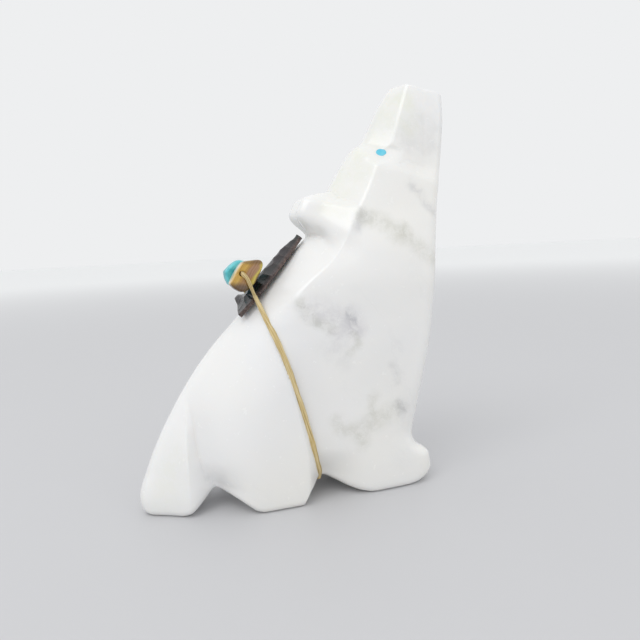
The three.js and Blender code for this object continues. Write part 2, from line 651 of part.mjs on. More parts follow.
/** The whole binding: one round of sinew, with the knot that closes it and its two cut ends. */
function sinewBinding() {
  const { knot, route } = bindingRoute();
  const lump = new THREE.SphereGeometry(KNOT_DIAMETER / 2, 10, 7);
  let binding = toSolid(lump.translate(knot.x, knot.y, knot.z));
  binding = binding.add(cord(route, SINEW_STEPS, SINEW_DIAMETER / 2));
  for (const lean of [-0.35, 0.3]) {
    const drop = new THREE.Vector3(lean, 0, -1).normalize();
    const end = knot.clone().addScaledVector(drop, KNOT_END_LENGTH);
    const bow = knot.clone().addScaledVector(drop, KNOT_END_LENGTH / 2);
    end.y = offSkin(end.x, end.z, FAR, SINEW_DIAMETER / 2 + CLEARANCE).y + CLEARANCE;
    bow.y = knot.y + CLEARANCE;
    binding = binding.add(cord([knot, bow, end], 4, 0.42 * SINEW_DIAMETER));
  }
  return toGeometry(binding);
}

/** A named piece of the figure. */
function piece(name, geometry, color, roughness) {
  const material = new THREE.MeshStandardMaterial({ color, roughness, metalness: 0 });
  const mesh = new THREE.Mesh(geometry, material);
  mesh.name = name;
  return mesh;
}

const turquoiseNearFace = NEAR_FACE_OF_CHIPS + TIGER_EYE.thickness + CLEARANCE;
const figure = new THREE.Group();
figure.position.x = -HAUNCH_FOOT_MIDDLE;
figure.add(
  piece('carved_body', carvedBody(), 0xefefea, 0.22),
  piece('right_eye_inlay', eyeInlay(NEAR), 0x4cc3ea, 0.35),
  piece('left_eye_inlay', eyeInlay(FAR), 0x4cc3ea, 0.35),
  piece('arrowhead', arrowhead(), 0x4b4848, 0.45),
  piece('tigers_eye_chip', chip(TIGER_EYE, tigerEyeOutline, NEAR_FACE_OF_CHIPS), 0xa8803f, 0.25),
  piece('turquoise_chip', chip(TURQUOISE, turquoiseOutline, turquoiseNearFace), 0x66b8b4, 0.4),
  piece('sinew_binding', sinewBinding(), 0xb39a5a, 0.6),
);

export default figure;
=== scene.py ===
"""Looks of a howling coyote carved from white marble, with a bundle tied on its back by sinew.

The stone, the chips, the arrowhead and the sinew are surfaces worked out with numpy on grids of two
parameters. Measures are in millimetres with X = 0 at the tail, and go to metres in the part's frame
when a mesh is made.
"""

import logging
import math
from dataclasses import dataclass, field
from enum import Enum
from typing import Any, Sequence

import bmesh
import bpy
import numpy as np
from mathutils import Matrix, Vector


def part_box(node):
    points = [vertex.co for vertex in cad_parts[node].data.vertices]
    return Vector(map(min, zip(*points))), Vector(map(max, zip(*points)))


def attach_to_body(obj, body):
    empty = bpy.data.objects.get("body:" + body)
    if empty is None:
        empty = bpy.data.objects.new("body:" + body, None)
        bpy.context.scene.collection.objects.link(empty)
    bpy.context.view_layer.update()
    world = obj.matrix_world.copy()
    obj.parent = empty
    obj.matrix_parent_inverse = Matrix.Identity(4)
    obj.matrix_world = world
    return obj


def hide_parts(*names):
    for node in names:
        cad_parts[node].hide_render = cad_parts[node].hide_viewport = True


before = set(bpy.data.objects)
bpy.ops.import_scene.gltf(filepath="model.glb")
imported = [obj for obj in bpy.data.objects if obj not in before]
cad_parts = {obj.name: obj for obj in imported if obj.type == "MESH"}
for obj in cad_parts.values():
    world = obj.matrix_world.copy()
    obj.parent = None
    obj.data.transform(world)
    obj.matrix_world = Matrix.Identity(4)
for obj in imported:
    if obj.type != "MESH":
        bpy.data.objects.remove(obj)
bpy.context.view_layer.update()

log = logging.getLogger("coyote")

MM = 0.001
FIGURE_HEIGHT = (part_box("carved_body")[1].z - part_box("carved_body")[0].z) / MM
UNIT = FIGURE_HEIGHT / 100
TAIL_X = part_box("carved_body")[0].x / MM
BODY = "root"
CREASE_ANGLE = 0.7

Array = np.ndarray
Pairs = Sequence[tuple[float, float]]


class Side(Enum):
    """The two sides of the figure, by the sign of Y."""

    NEAR = -1
    FAR = 1


def ease(low: float | Array, high: float | Array, value: float | Array) -> Array:
    """Eases from 0 at low to 1 at high, by 3 s² - 2 s³ of the share s between them."""
    share = np.clip((value - low) / (high - low), 0, 1)
    return share * share * (3 - 2 * share)


def bell(value: Array, middle: float | Array, below: float, above: float) -> Array:
    """A bell exp(-d²), with d the distance from the middle in widths below or above it."""
    width = np.where(value < middle, below, above)
    return np.exp(-(((value - middle) / width) ** 2))


def mix(first: Array | float, second: Array | float, share: Array | float) -> Array:
    """Goes in a straight line from first to second."""
    return first + (second - first) * share


class Curve:
    """A smooth curve without overshoot through [place, value] pairs, level past both ends."""

    def __init__(self, pairs: Pairs, scale: float = 1.0) -> None:
        """Works out a slope at each pair, the harmonic mean of the slopes beside it.

        Args:
            pairs: Places and values, in hundredths of the figure's height unless said otherwise.
            scale: What the values are multiplied by.
        """
        places, values = np.array(pairs, float).T
        self.places = places
        self.values = values * scale
        steep = np.diff(self.values) / np.diff(places)
        product = steep[:-1] * steep[1:]
        total = steep[:-1] + steep[1:]
        inner = np.where(product > 0, 2 * product / np.where(total == 0, 1, total), 0)
        self.slopes = np.concatenate([steep[:1], inner, steep[-1:]])

    def __call__(self, place: float | Array) -> Array:
        """Evaluates the cubic that has the pair's values and slopes at both ends of each span.

        Args:
            place: Where to evaluate it.

        Returns:
            The values, in the shape of place.
        """
        x = np.clip(place, self.places[0], self.places[-1])
        i = np.clip(np.searchsorted(self.places, x, side="right") - 1, 0, len(self.places) - 2)
        span = self.places[i + 1] - self.places[i]
        s = (x - self.places[i]) / span
        return (
            (2 * s**3 - 3 * s**2 + 1) * self.values[i]
            + (s**3 - 2 * s**2 + s) * span * self.slopes[i]
            + (3 * s**2 - 2 * s**3) * self.values[i + 1]
            + (s**3 - s**2) * span * self.slopes[i + 1]
        )


def rail(pairs: Pairs) -> Curve:
    """A rail on the side view: hundredths of the height against x, in millimetres."""
    return Curve(pairs, UNIT)


@dataclass(frozen=True)
class StoneSizes:
    """How thick the stone is and how deep it is carved, in millimetres."""

    half_thickness: float = 10.2
    base_rounding: float = 1.3
    nose_rounding: float = 0.35
    nose_slope: float = 0.245
    nose_roof_fall: float = 0.0
    tail_groove: float = 2.1
    tail_ridge: float = 0.5
    binding_valley: float = 1.7
    notch_thinning: float = 1.8
    brow_step: float = 1.5
    brow_jog: float = 1.0
    eye_jog: float = 2.0
    ear_rise: float = 5.4
    neck_hollow: float = 0.9
    ankle_hollow: float = 0.8
    side_crown: float = 0.5


class CoyoteStone:
    """The carved block: its section at each height, and the carving worked into its skin."""

    SPINE, TAIL, RUMP, EDGE, HAUNCH, FLANK, CORNER, CHEST = 2, 3, 3, 3, 8, 9, 3, 3
    ROOF_END = SPINE + TAIL + RUMP
    SIDE_START = ROOF_END + EDGE
    SIDE_END = SIDE_START + HAUNCH + FLANK
    CHEST_START = SIDE_END + CORNER
    HALF_ROUND = CHEST_START + CHEST
    UNDERSIDE_REACH = 20.0
    NOSE_START = 86.0
    LEAST_VALLEY_SHARE = 0.14

    def __init__(self, sizes: StoneSizes) -> None:
        """Sets up the rails, the half widths and the carving's depths over the height.

        Args:
            sizes: The stone's thickness and the depths of its carving.
        """
        self.sizes = sizes
        self.spine_x = rail([
            (0, 0.7), (3.8, 0), (10.3, 2.1), (17.6, 5.4), (25, 9.6), (32.5, 14.7), (38.7, 19.9),
            (44.1, 25.3), (64.6, 44.6), (75.2, 51.2), (81.7, 55.5), (87, 59.5), (94.6, 63.8),
            (97.6, 65.9), (100, 67.7),
        ])
        self.edge_x = rail([
            (0, 21), (12, 21.5), (24, 24), (36, 30), (44, 34.2), (51, 38.7), (58.3, 47.6),
            (63, 51.2), (70, 55.6), (74.8, 58.5), (80, 60.9), (84.4, 63.1), (92.9, 66),
            (100, 68.6),
        ])
        self.chest_x = rail([
            (0, 70.2), (3.4, 72.6), (7, 72), (10.6, 68), (13, 67.2), (18.8, 68.4), (27.9, 70.6),
            (37.6, 72.8), (50, 74.4), (61.3, 75.7), (71.7, 77.4), (81.8, 79.2), (92.8, 80.2),
            (100, 80.1),
        ])
        self.binding_x = rail([
            (0, 43.8), (5.9, 42.3), (11.4, 40.7), (18.9, 39), (25.1, 37.4), (34, 34.9),
            (40.2, 32.9), (45.9, 31), (49.1, 30), (58, 26),
        ])
        self.haunch_facet = rail([(0, 6.3), (8, 3.5), (12.3, 2.4), (19.5, 2), (31, 1.3)])
        self.tail_ridge_x = rail([(0, 11), (16, 11.4), (24, 11.8), (34, 9)])
        self.tail_groove_x = rail([
            (0, 17.5), (6, 16.9), (8, 15.8), (10.8, 14.6), (14.4, 13.9), (22.9, 13.2), (27.4, 12.4),
            (34, 9.4),
        ])
        half = sizes.half_thickness
        self.edge_y = Curve([
            (0, 0.96), (20, 1), (52, 0.99), (58.3, 0.95), (65, 0.83), (70.5, 0.74), (80, 0.68),
            (92, 0.63), (100, 0.56),
        ], half)
        self.chest_y = Curve([
            (0, 0.95), (12, 0.97), (50, 0.96), (60, 0.88), (72, 0.74), (80, 0.68), (92, 0.63),
            (100, 0.57),
        ], half)
        self.spine_y = Curve([(0, 0.2), (20, 0.16), (60, 0.16), (78, 0.12), (100, 0.14)], half)
        self.edge_rounding = rail([
            (0, 7), (40, 8), (47, 4), (50, 1.2), (58, 0.7), (79.6, 0.7), (81, 4.5), (83.6, 4.5),
            (85, 0.7), (100, 0.9),
        ])
        self.chest_rounding = rail([(0, 6), (12, 4.4), (60, 3.2), (85, 2.8), (100, 2)])
        self.groove_share = Curve([
            (0, 0.79), (6.4, 0.79), (12, 0.66), (22, 0.44), (30, 0.36), (44, 0.45),
        ])
        self.underside = rail([
            (0, 0), (8.6, 0), (10.4, 0.5), (13.4, 2.7), (15.8, 4.6), (17.2, 5.2), (19.5, 4.4),
            (21.7, 3.4), (24, 1.9), (25.8, 0.6), (27.6, 0), (36.8, 0), (38.6, 2.2), (40.4, 3.7),
            (42.2, 4.8), (43.4, 4.8), (46, 3.6), (49.4, 1.8), (52.8, 0.5), (55.6, 0), (80, 0),
        ])
        self.roof_fall = rail([(46, 0), (64.5, 4), (72, 3.4), (82, 3.2), (96, 1.4)])
        self.side_fall = rail([(58, 0), (65, 0.8), (73, 3.4), (82.8, 7), (96, 2.6)])
        self.groove_fade = Curve([(0, 1), (10, 0.95), (18, 0.7), (25, 0.25), (31, 0)])
        self.valley_fade = Curve([(0, 1.4), (8, 1.1), (16, 0.9), (26, 0.7), (36, 0.35), (44, 0)])
        self.brow_low = Curve([
            (57.5, 85), (58, 84.6), (60.9, 80), (62.2, 78.9), (66.7, 78.2), (70.9, 76.6),
            (75.2, 75.1), (80, 73),
        ])
        self.brow_high = Curve([
            (58.5, 86.6), (59, 86.1), (63.1, 84.4), (66.2, 83.2), (68.8, 80.8), (71.2, 79.8),
            (77.7, 79), (81, 78),
        ])
        self.ear_across = Curve([
            (0, 0.75), (0.1, 0.88), (0.24, 1), (0.36, 0.94), (0.52, 0.6), (0.75, 0.3),
            (0.95, 0.06), (1.05, 0),
        ])

    @staticmethod
    def _rounded(before: Array, corner: Array, after: Array, reach: Array, share: Array) -> Array:
        """A point on a corner rounded by a parabola: the quadratic Bezier curve of its tangents.

        Args:
            before: A point on the side before the corner.
            corner: The corner.
            after: A point on the side after it.
            reach: How far from the corner the rounding starts, in millimetres.
            share: How far round it the point is, from 0 to 1.

        Returns:
            The points.
        """
        to_before = np.linalg.norm(before - corner, axis=-1)
        to_after = np.linalg.norm(after - corner, axis=-1)
        start = mix(corner, before, np.minimum(1, reach / to_before)[..., None])
        end = mix(corner, after, np.minimum(0.48, reach / to_after)[..., None])
        t = share[..., None]
        return start * (1 - t) ** 2 + 2 * corner * t * (1 - t) + end * t**2

    def section(self, station: Array, z: Array) -> Array:
        """The uncarved section at a height, from mid spine round to mid chest.

        Args:
            station: Place round the section, from 0 at the spine to HALF_ROUND at the chest.
            z: Heights in millimetres, in the same shape.

        Returns:
            x and half width for each, in the last axis.
        """
        h = z / UNIT
        nil = np.zeros_like(z)
        spine_x, edge_x, chest_x = self.spine_x(h), self.edge_x(h), self.chest_x(h)
        spine = np.stack([spine_x, nil], -1)
        shoulder = np.stack([spine_x, self.spine_y(h)], -1)
        edge = np.stack([edge_x, self.edge_y(h)], -1)
        front = np.stack([chest_x, self.chest_y(h)], -1)
        chest = np.stack([chest_x, nil], -1)
        one = np.ones_like(z)

        def on_spine(share: Array) -> Array:
            """A point on the rounding from the flat of the spine to the back's facet."""
            return self._rounded(spine, shoulder, edge, self.spine_y(h), share)

        def on_edge(share: Array) -> Array:
            """A point on the rounding from the back's facet to the side."""
            return self._rounded(shoulder, edge, front, self.edge_rounding(h), share)

        def on_corner(share: Array) -> Array:
            """A point on the rounding from the side to the chest."""
            return self._rounded(edge, front, chest, self.chest_rounding(h), share)

        past = np.clip(station / self.SPINE, 0, 1)
        point = on_spine(past)
        top, foot = on_spine(one), on_edge(nil)
        groove = mix(top, foot, self.groove_share(h)[..., None])
        share = np.clip((station - self.SPINE) / self.TAIL, 0, 1)[..., None]
        point = np.where((station > self.SPINE)[..., None], mix(top, groove, share), point)
        start = self.SPINE + self.TAIL
        share = np.clip((station - start) / self.RUMP, 0, 1)[..., None]
        point = np.where((station > start)[..., None], mix(groove, foot, share), point)
        share = np.clip((station - self.ROOF_END) / self.EDGE, 0, 1)
        point = np.where((station > self.ROOF_END)[..., None], on_edge(share), point)
        rear, fore = on_edge(one), on_corner(nil)
        wanted = (self.binding_x(h) - rear[..., 0]) / (fore[..., 0] - rear[..., 0])
        least = self.LEAST_VALLEY_SHARE
        turned = least + np.maximum(0, wanted) ** 2 / (4 * least)
        valley = mix(rear, fore, np.where(wanted > 2 * least, wanted, turned)[..., None])
        share = 1 - (1 - np.clip((station - self.SIDE_START) / self.HAUNCH, 0, 1)) ** 1.5
        point = np.where((station > self.SIDE_START)[..., None], mix(rear, valley, share[..., None]), point)
        start = self.SIDE_START + self.HAUNCH
        share = np.clip((station - start) / self.FLANK, 0, 1) ** 1.35
        point = np.where((station > start)[..., None], mix(valley, fore, share[..., None]), point)
        share = np.clip((station - self.SIDE_END) / self.CORNER, 0, 1)
        point = np.where((station > self.SIDE_END)[..., None], on_corner(share), point)
        share = np.clip((station - self.CHEST_START) / self.CHEST, 0, 1)[..., None]
        flat = mix(on_corner(one), chest, share)
        return np.where((station > self.CHEST_START)[..., None], flat, point)

    def side_cut(self, x: Array, z: Array) -> Array:
        """How deep the side is cut, in millimetres along Y.

        The tail falls in a straight facet from its ridge to its groove, and the haunch in one
        from its front edge to the binding's valley. The far sides of both, the thin places over
        the arches and the ankle are bells.

        Args:
            x: Places along the figure, in millimetres.
            z: Heights, in the same shape.

        Returns:
            The depths.
        """
        along, high = x / UNIT, z / UNIT
        cuts = self.sizes
        ridge_x, groove_x = self.tail_ridge_x(high), self.tail_groove_x(high)
        facet = np.clip((x - ridge_x) / (groove_x - ridge_x), 0, 1)
        lifted = cuts.tail_ridge * (1 - ease(16, 26, high)) * bell(x, ridge_x, 2.2, 9)
        groove = cuts.tail_groove * self.groove_fade(high) * facet * bell(x, groove_x, 9, 3.2)
        short = np.clip(1 - (self.binding_x(high) + 0.3 - x) / self.haunch_facet(high), 0, 1)
        past = bell(x, self.binding_x(high) + 0.3, 9, 5)
        valley = cuts.binding_valley * self.valley_fade(high) * np.where(short < 1, short, past)
        arches = bell(along, 17.2, 4, 4) + bell(along, 43, 3, 6)
        notches = cuts.notch_thinning * (1 - ease(5, 13, high)) * arches
        ankle = cuts.ankle_hollow * bell(along, 67, 4, 4.5) * bell(high, 14.5, 2.8, 7)
        return groove - lifted * (1 - facet) + valley + notches + ankle

    def brow(self, along: Array, high: Array) -> Array:
        """How far up the brow's ledge a point is, from 0 below it to 1 on the muzzle.

        Args:
            along: Places along the figure, in hundredths of its height.
            high: Heights, in the same unit.

        Returns:
            The shares.
        """
        low, top = self.brow_low(along), self.brow_high(along)
        share = np.clip((high - low) / (top - low), 0, 1)
        return mix(share, ease(0, 1, share), 0.35)

    def ear_lift(self, across: Array, z: Array) -> Array:
        """How far the two laid back ears stand out: a cubic drop above, a sine below.

        Args:
            across: Shares of the way from the middle plane to the side.
            z: Heights, in millimetres.

        Returns:
            The lifts, in millimetres.
        """
        high = z / UNIT
        ridge = 74.4 - 1.9 * ease(0.2, 0.55, across) - 2 * ease(0.5, 1, across)
        above = 1 - np.clip((high - ridge + 2.3) / 2.3, 0, 1) ** 3
        foot = 63.6 - 3.4 * ease(0.35, 0.9, across)
        rise = np.clip((high - foot) / (ridge - 3.8 - foot), 0, 1)
        below = np.sin(math.pi / 2 * mix(rise, ease(0, 1, rise), 0.25))
        return self.sizes.ear_rise * self.ear_across(across) * above * below

    def neck_hollow(self, across: Array, along: Array, z: Array) -> Array:
        """How deep the neck is hollowed below the ears, a bell over the height.

        Args:
            across: Shares of the way from the middle plane to the side.
            along: Places along the figure, in hundredths of its height.
            z: Heights, in millimetres.

        Returns:
            The depths, in millimetres.
        """
        middle = 64.4 - 3.6 * ease(0.35, 0.9, across)
        hollow = bell(z / UNIT, middle, 3, 3.2)
        return self.sizes.neck_hollow * hollow * (1 - ease(50, 56, along))

    def rounding_inset(self, level: Array) -> Array:
        """How far a section draws in by the circles that round off the base and the nose.

        Args:
            level: The rows' heights at the spine, in millimetres.

        Returns:
            The insets, in millimetres.
        """
        base, nose = self.sizes.base_rounding, self.sizes.nose_rounding
        foot = np.clip(base - level, 0, base)
        top = np.clip(level - FIGURE_HEIGHT + nose, 0, nose)
        drawn = base - np.sqrt(base**2 - foot**2) + nose - np.sqrt(nose**2 - top**2)
        return 0.85 * drawn

    def skin(self, station: Array, level: Array) -> Array:
        """Points of the carved skin on the near side.

        The height at each station is solved by repetition, because rows fall with x. Then the
        section is drawn in for roundings and hollows, cut along Y and lifted for the ears.

        Args:
            station: Place round the section.
            level: The row's height at the spine, in millimetres, in the same shape.

        Returns:
            x, y and z in millimetres, in the last axis.
        """
        station, level = np.broadcast_arrays(np.asarray(station, float), np.asarray(level, float))
        at_nose = ease(self.NOSE_START * UNIT, FIGURE_HEIGHT, level)
        lift = np.maximum(0, 1 - level / (self.UNDERSIDE_REACH * UNIT))
        z = level.copy()
        bare = self.section(station, z)
        for _ in range(8):
            h = z / UNIT
            edge_x, chest_x = self.edge_x(h), self.chest_x(h)
            roof = np.where(station > self.SIDE_START, 1, np.clip(bare[..., 1] / self.edge_y(h), 0, 1))
            flank = np.clip((bare[..., 0] - edge_x) / (chest_x - edge_x), 0, 1)
            row = level / UNIT
            fall = self.roof_fall(row) * roof + self.side_fall(row) * flank**1.5
            nose_fall = self.sizes.nose_slope * (bare[..., 0] - self.spine_x(row))
            nose_fall = nose_fall + self.sizes.nose_roof_fall * roof
            z = level - mix(fall, nose_fall, at_nose) + self.underside(bare[..., 0] / UNIT) * lift
            bare = self.section(station, z)
        step = 0.02
        ahead = self.section(np.minimum(self.HALF_ROUND, station + step), z)
        behind = self.section(np.maximum(0, station - step), z)
        out = np.stack([behind[..., 1] - ahead[..., 1], ahead[..., 0] - behind[..., 0]], -1)
        out /= np.maximum(np.linalg.norm(out, axis=-1, keepdims=True), 1e-12)
        out[station < step] = (-1, 0)
        h = z / UNIT
        edge_x, chest_x = self.edge_x(h), self.chest_x(h)
        across = bare[..., 1] / self.edge_y(h)
        back_half = 1 - ease(self.SIDE_START, self.SIDE_START + 3, station)
        ear = self.ear_lift(across, z) * back_half
        inward = self.rounding_inset(level) + self.neck_hollow(across, bare[..., 0] / UNIT, z)
        share = np.clip((bare[..., 0] - edge_x) / (chest_x - edge_x), 0, 1)
        crown = self.sizes.side_crown * 4 * share * (1 - share)
        on_flank = 1 - ease(self.SIDE_END, self.CHEST_START, station)
        cut = (self.side_cut(bare[..., 0], z) - crown) * on_flank * ease(0, 0.45, across)
        brow = self.brow(bare[..., 0] / UNIT, h)
        jog = mix(self.sizes.brow_jog, self.sizes.eye_jog, np.clip(across, 0, 1)) * (1 - share)
        throat = 1 - 0.75 * ease(73, 79, bare[..., 0] / UNIT)
        cut = cut + self.sizes.brow_step * brow * throat * across
        x = bare[..., 0] - out[..., 0] * inward - 0.97 * ear + jog * brow
        y = bare[..., 1] - out[..., 1] * inward + 0.2 * ear * ease(0, 0.2, across) - cut
        return np.stack([x, -y, z], -1)

    def normal(self, station: Array, level: Array) -> Array:
        """The outward direction of the near skin, from the cross product of its two tangents.

        Args:
            station: Place round the section.
            level: The row's height at the spine, in millimetres.

        Returns:
            Unit vectors.
        """
        step = 0.05
        round_it = self.skin(station + step, level) - self.skin(station - step, level)
        up = self.skin(station, level + step) - self.skin(station, level - step)
        out = np.cross(round_it, up)
        out /= np.linalg.norm(out, axis=-1, keepdims=True)
        return out * np.where(out[..., 1:2] > 0, -1, 1)

    def foot_at(self, x: float) -> Array:
        """The point at which the lowest row of the skin reaches x.

        Args:
            x: A place along the figure, in millimetres.

        Returns:
            The point, on the near side.
        """
        station = np.linspace(self.SPINE, self.SIDE_END, 300)
        row = self.skin(station, 0.0)
        return self.skin(np.interp([x], row[:, 0], station), 0.0)[0]

    def find(self, x: Array, z: Array) -> tuple[Array, Array]:
        """The stations and levels of the skin that show at x and z in the side view.

        Each starts from the nearest of a coarse grid of skin points, and goes on by Newton's
        steps, with slopes from small differences.

        Args:
            x: Places along the figure, in millimetres.
            z: Heights, in the same shape.

        Returns:
            The stations and the levels.
        """
        wanted = np.stack([np.atleast_1d(x), np.atleast_1d(z)], -1).astype(float)
        station, level = (table.ravel() for table in np.meshgrid(
            np.linspace(self.SPINE, self.SIDE_END, 44), np.linspace(2, 0.97 * FIGURE_HEIGHT, 60),
        ))
        known = self.skin(station, level)[:, [0, 2]]
        nearest = np.argmin(((known - wanted[:, None]) ** 2).sum(-1), 1)
        station, level = station[nearest], level[nearest]
        step = 0.01
        for _ in range(6):
            here = self.skin(station, level)[:, [0, 2]]
            by_station = (self.skin(station + step, level)[:, [0, 2]] - here) / step
            by_level = (self.skin(station, level + step)[:, [0, 2]] - here) / step
            miss = wanted - here
            area = by_station[:, 0] * by_level[:, 1] - by_station[:, 1] * by_level[:, 0]
            round_it = (miss[:, 0] * by_level[:, 1] - miss[:, 1] * by_level[:, 0]) / area
            up = (by_station[:, 0] * miss[:, 1] - by_station[:, 1] * miss[:, 0]) / area
            station, level = station + np.clip(round_it, -1, 1), level + np.clip(up, -2, 2)
        return station, level

    def off_skin(self, x: Array, z: Array, side: Side, distance: float) -> Array:
        """Points held off the skin by a distance, over the places that show at x and z.

        Args:
            x: Places along the figure, in millimetres.
            z: Heights, in the same shape.
            side: The side that the points are on.
            distance: How far off the skin they are held.

        Returns:
            The points.
        """
        station, level = self.find(x, z)
        point = self.skin(station, level) + self.normal(station, level) * distance
        point[..., 1] *= -side.value
        return point


def tail_to_frame(points: Array) -> Array:
    """Takes millimetres with X = 0 at the tail to metres in the part's frame."""
    return (points + np.array([TAIL_X, 0, 0])) * MM


def closed_grid(points: Array, wrap_rows: bool = False) -> tuple[Array, Array]:
    """Vertices and quads of a grid whose columns run round and close on themselves.

    Args:
        points: Rows by columns by 3.
        wrap_rows: Whether the last row also meets the first, as on a ring.

    Returns:
        The vertices and the quads' corner numbers.
    """
    rows, columns = points.shape[:2]
    row = np.arange(rows if wrap_rows else rows - 1)[:, None]
    column = np.arange(columns)[None, :]
    after, beside = (row + 1) % rows, (column + 1) % columns
    quads = np.stack(np.broadcast_arrays(
        row * columns + column, row * columns + beside, after * columns + beside, after * columns + column,
    ), -1)
    return points.reshape(-1, 3), quads.reshape(-1, 4)


def mesh_object(
    name: str, vertices: Array, faces: Array, crease_angle: float = CREASE_ANGLE,
) -> bpy.types.Object:
    """Makes a closed, smooth shaded mesh object from vertices in metres.

    Args:
        name: The object's name.
        vertices: Points in the part's frame, in metres.
        faces: Corner numbers, one row for each face.
        crease_angle: Edges that turn by more than this, in radians, stay sharp.

    Returns:
        The object, linked to the scene, with doubles merged and faces pointing out.
    """
    mesh = bpy.data.meshes.new(name)
    mesh.from_pydata(vertices.tolist(), [], faces.tolist())
    tidy = bmesh.new()
    tidy.from_mesh(mesh)
    bmesh.ops.remove_doubles(tidy, verts=tidy.verts, dist=2e-6)
    bmesh.ops.dissolve_degenerate(tidy, edges=tidy.edges, dist=1e-6)
    bmesh.ops.recalc_face_normals(tidy, faces=tidy.faces)
    mark_sharp(tidy, crease_angle)
    tidy.to_mesh(mesh)
    tidy.free()
    piece = bpy.data.objects.new(name, mesh)
    bpy.context.scene.collection.objects.link(piece)
    return piece


def mark_sharp(mesh: bmesh.types.BMesh, crease_angle: float) -> None:
    """Shades the faces smooth and keeps edges sharp that turn by more than an angle.

    Args:
        mesh: The mesh, changed in place.
        crease_angle: The angle, in radians.
    """
    for face in mesh.faces:
        face.smooth = True
    for edge in mesh.edges:
        edge.smooth = len(edge.link_faces) == 2 and edge.calc_face_angle(0.0) < crease_angle


def attach(piece: bpy.types.Object, nodes: Sequence[str], material: bpy.types.Material) -> None:
    """Lets a piece ride on the body in place of CAD nodes and material.

    Args:
        piece: The piece.
        nodes: The CAD nodes that it replaces.
        material: Its material.
    """
    piece.data.materials.clear()
    piece.data.materials.append(material)
    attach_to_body(piece, BODY)
    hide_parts(*nodes)


class Socket:
    """A shader value: Python's arithmetic on it adds Math nodes to its material."""

    def __init__(self, graph: "Graph", link: Any) -> None:
        """Wraps an output socket of a graph's node."""
        self.graph = graph
        self.link = link

    def _math(self, operation: str, *values: Any) -> "Socket":
        """Adds a Math node with this operation on values."""
        return self.graph.node("ShaderNodeMath", {"operation": operation}, list(values))

    def __add__(self, other: Any) -> "Socket":
        """Adds."""
        return self._math("ADD", self, other)

    def __radd__(self, other: Any) -> "Socket":
        """Adds, with the number first."""
        return self._math("ADD", other, self)

    def __sub__(self, other: Any) -> "Socket":
        """Subtracts."""
        return self._math("SUBTRACT", self, other)

    def __rsub__(self, other: Any) -> "Socket":
        """Subtracts from a number."""
        return self._math("SUBTRACT", other, self)

    def __mul__(self, other: Any) -> "Socket":
        """Multiplies."""
        return self._math("MULTIPLY", self, other)

    def __rmul__(self, other: Any) -> "Socket":
        """Multiplies, with the number first."""
        return self._math("MULTIPLY", other, self)

    def __truediv__(self, other: Any) -> "Socket":
        """Divides."""
        return self._math("DIVIDE", self, other)

    def __rtruediv__(self, other: Any) -> "Socket":
        """Divides a number."""
        return self._math("DIVIDE", other, self)

    def __pow__(self, other: Any) -> "Socket":
        """Raises to a power."""
        return self._math("POWER", self, other)

    def largest(self, other: Any) -> "Socket":
        """The larger of this and another value."""
        return self._math("MAXIMUM", self, other)

    def smallest(self, other: Any) -> "Socket":
        """The smaller of this and another value."""
        return self._math("MINIMUM", self, other)

    def step(self, low: float, high: float) -> "Socket":
        """Eases from 0 at low to 1 at high.

        Args:
            low: The value that gives 0.
            high: The value that gives 1.

        Returns:
            The eased share.
        """
        settings = {"interpolation_type": "SMOOTHSTEP"}
        inputs = {"Value": self, "From Min": low, "From Max": high}
        return self.graph.node("ShaderNodeMapRange", settings, inputs)


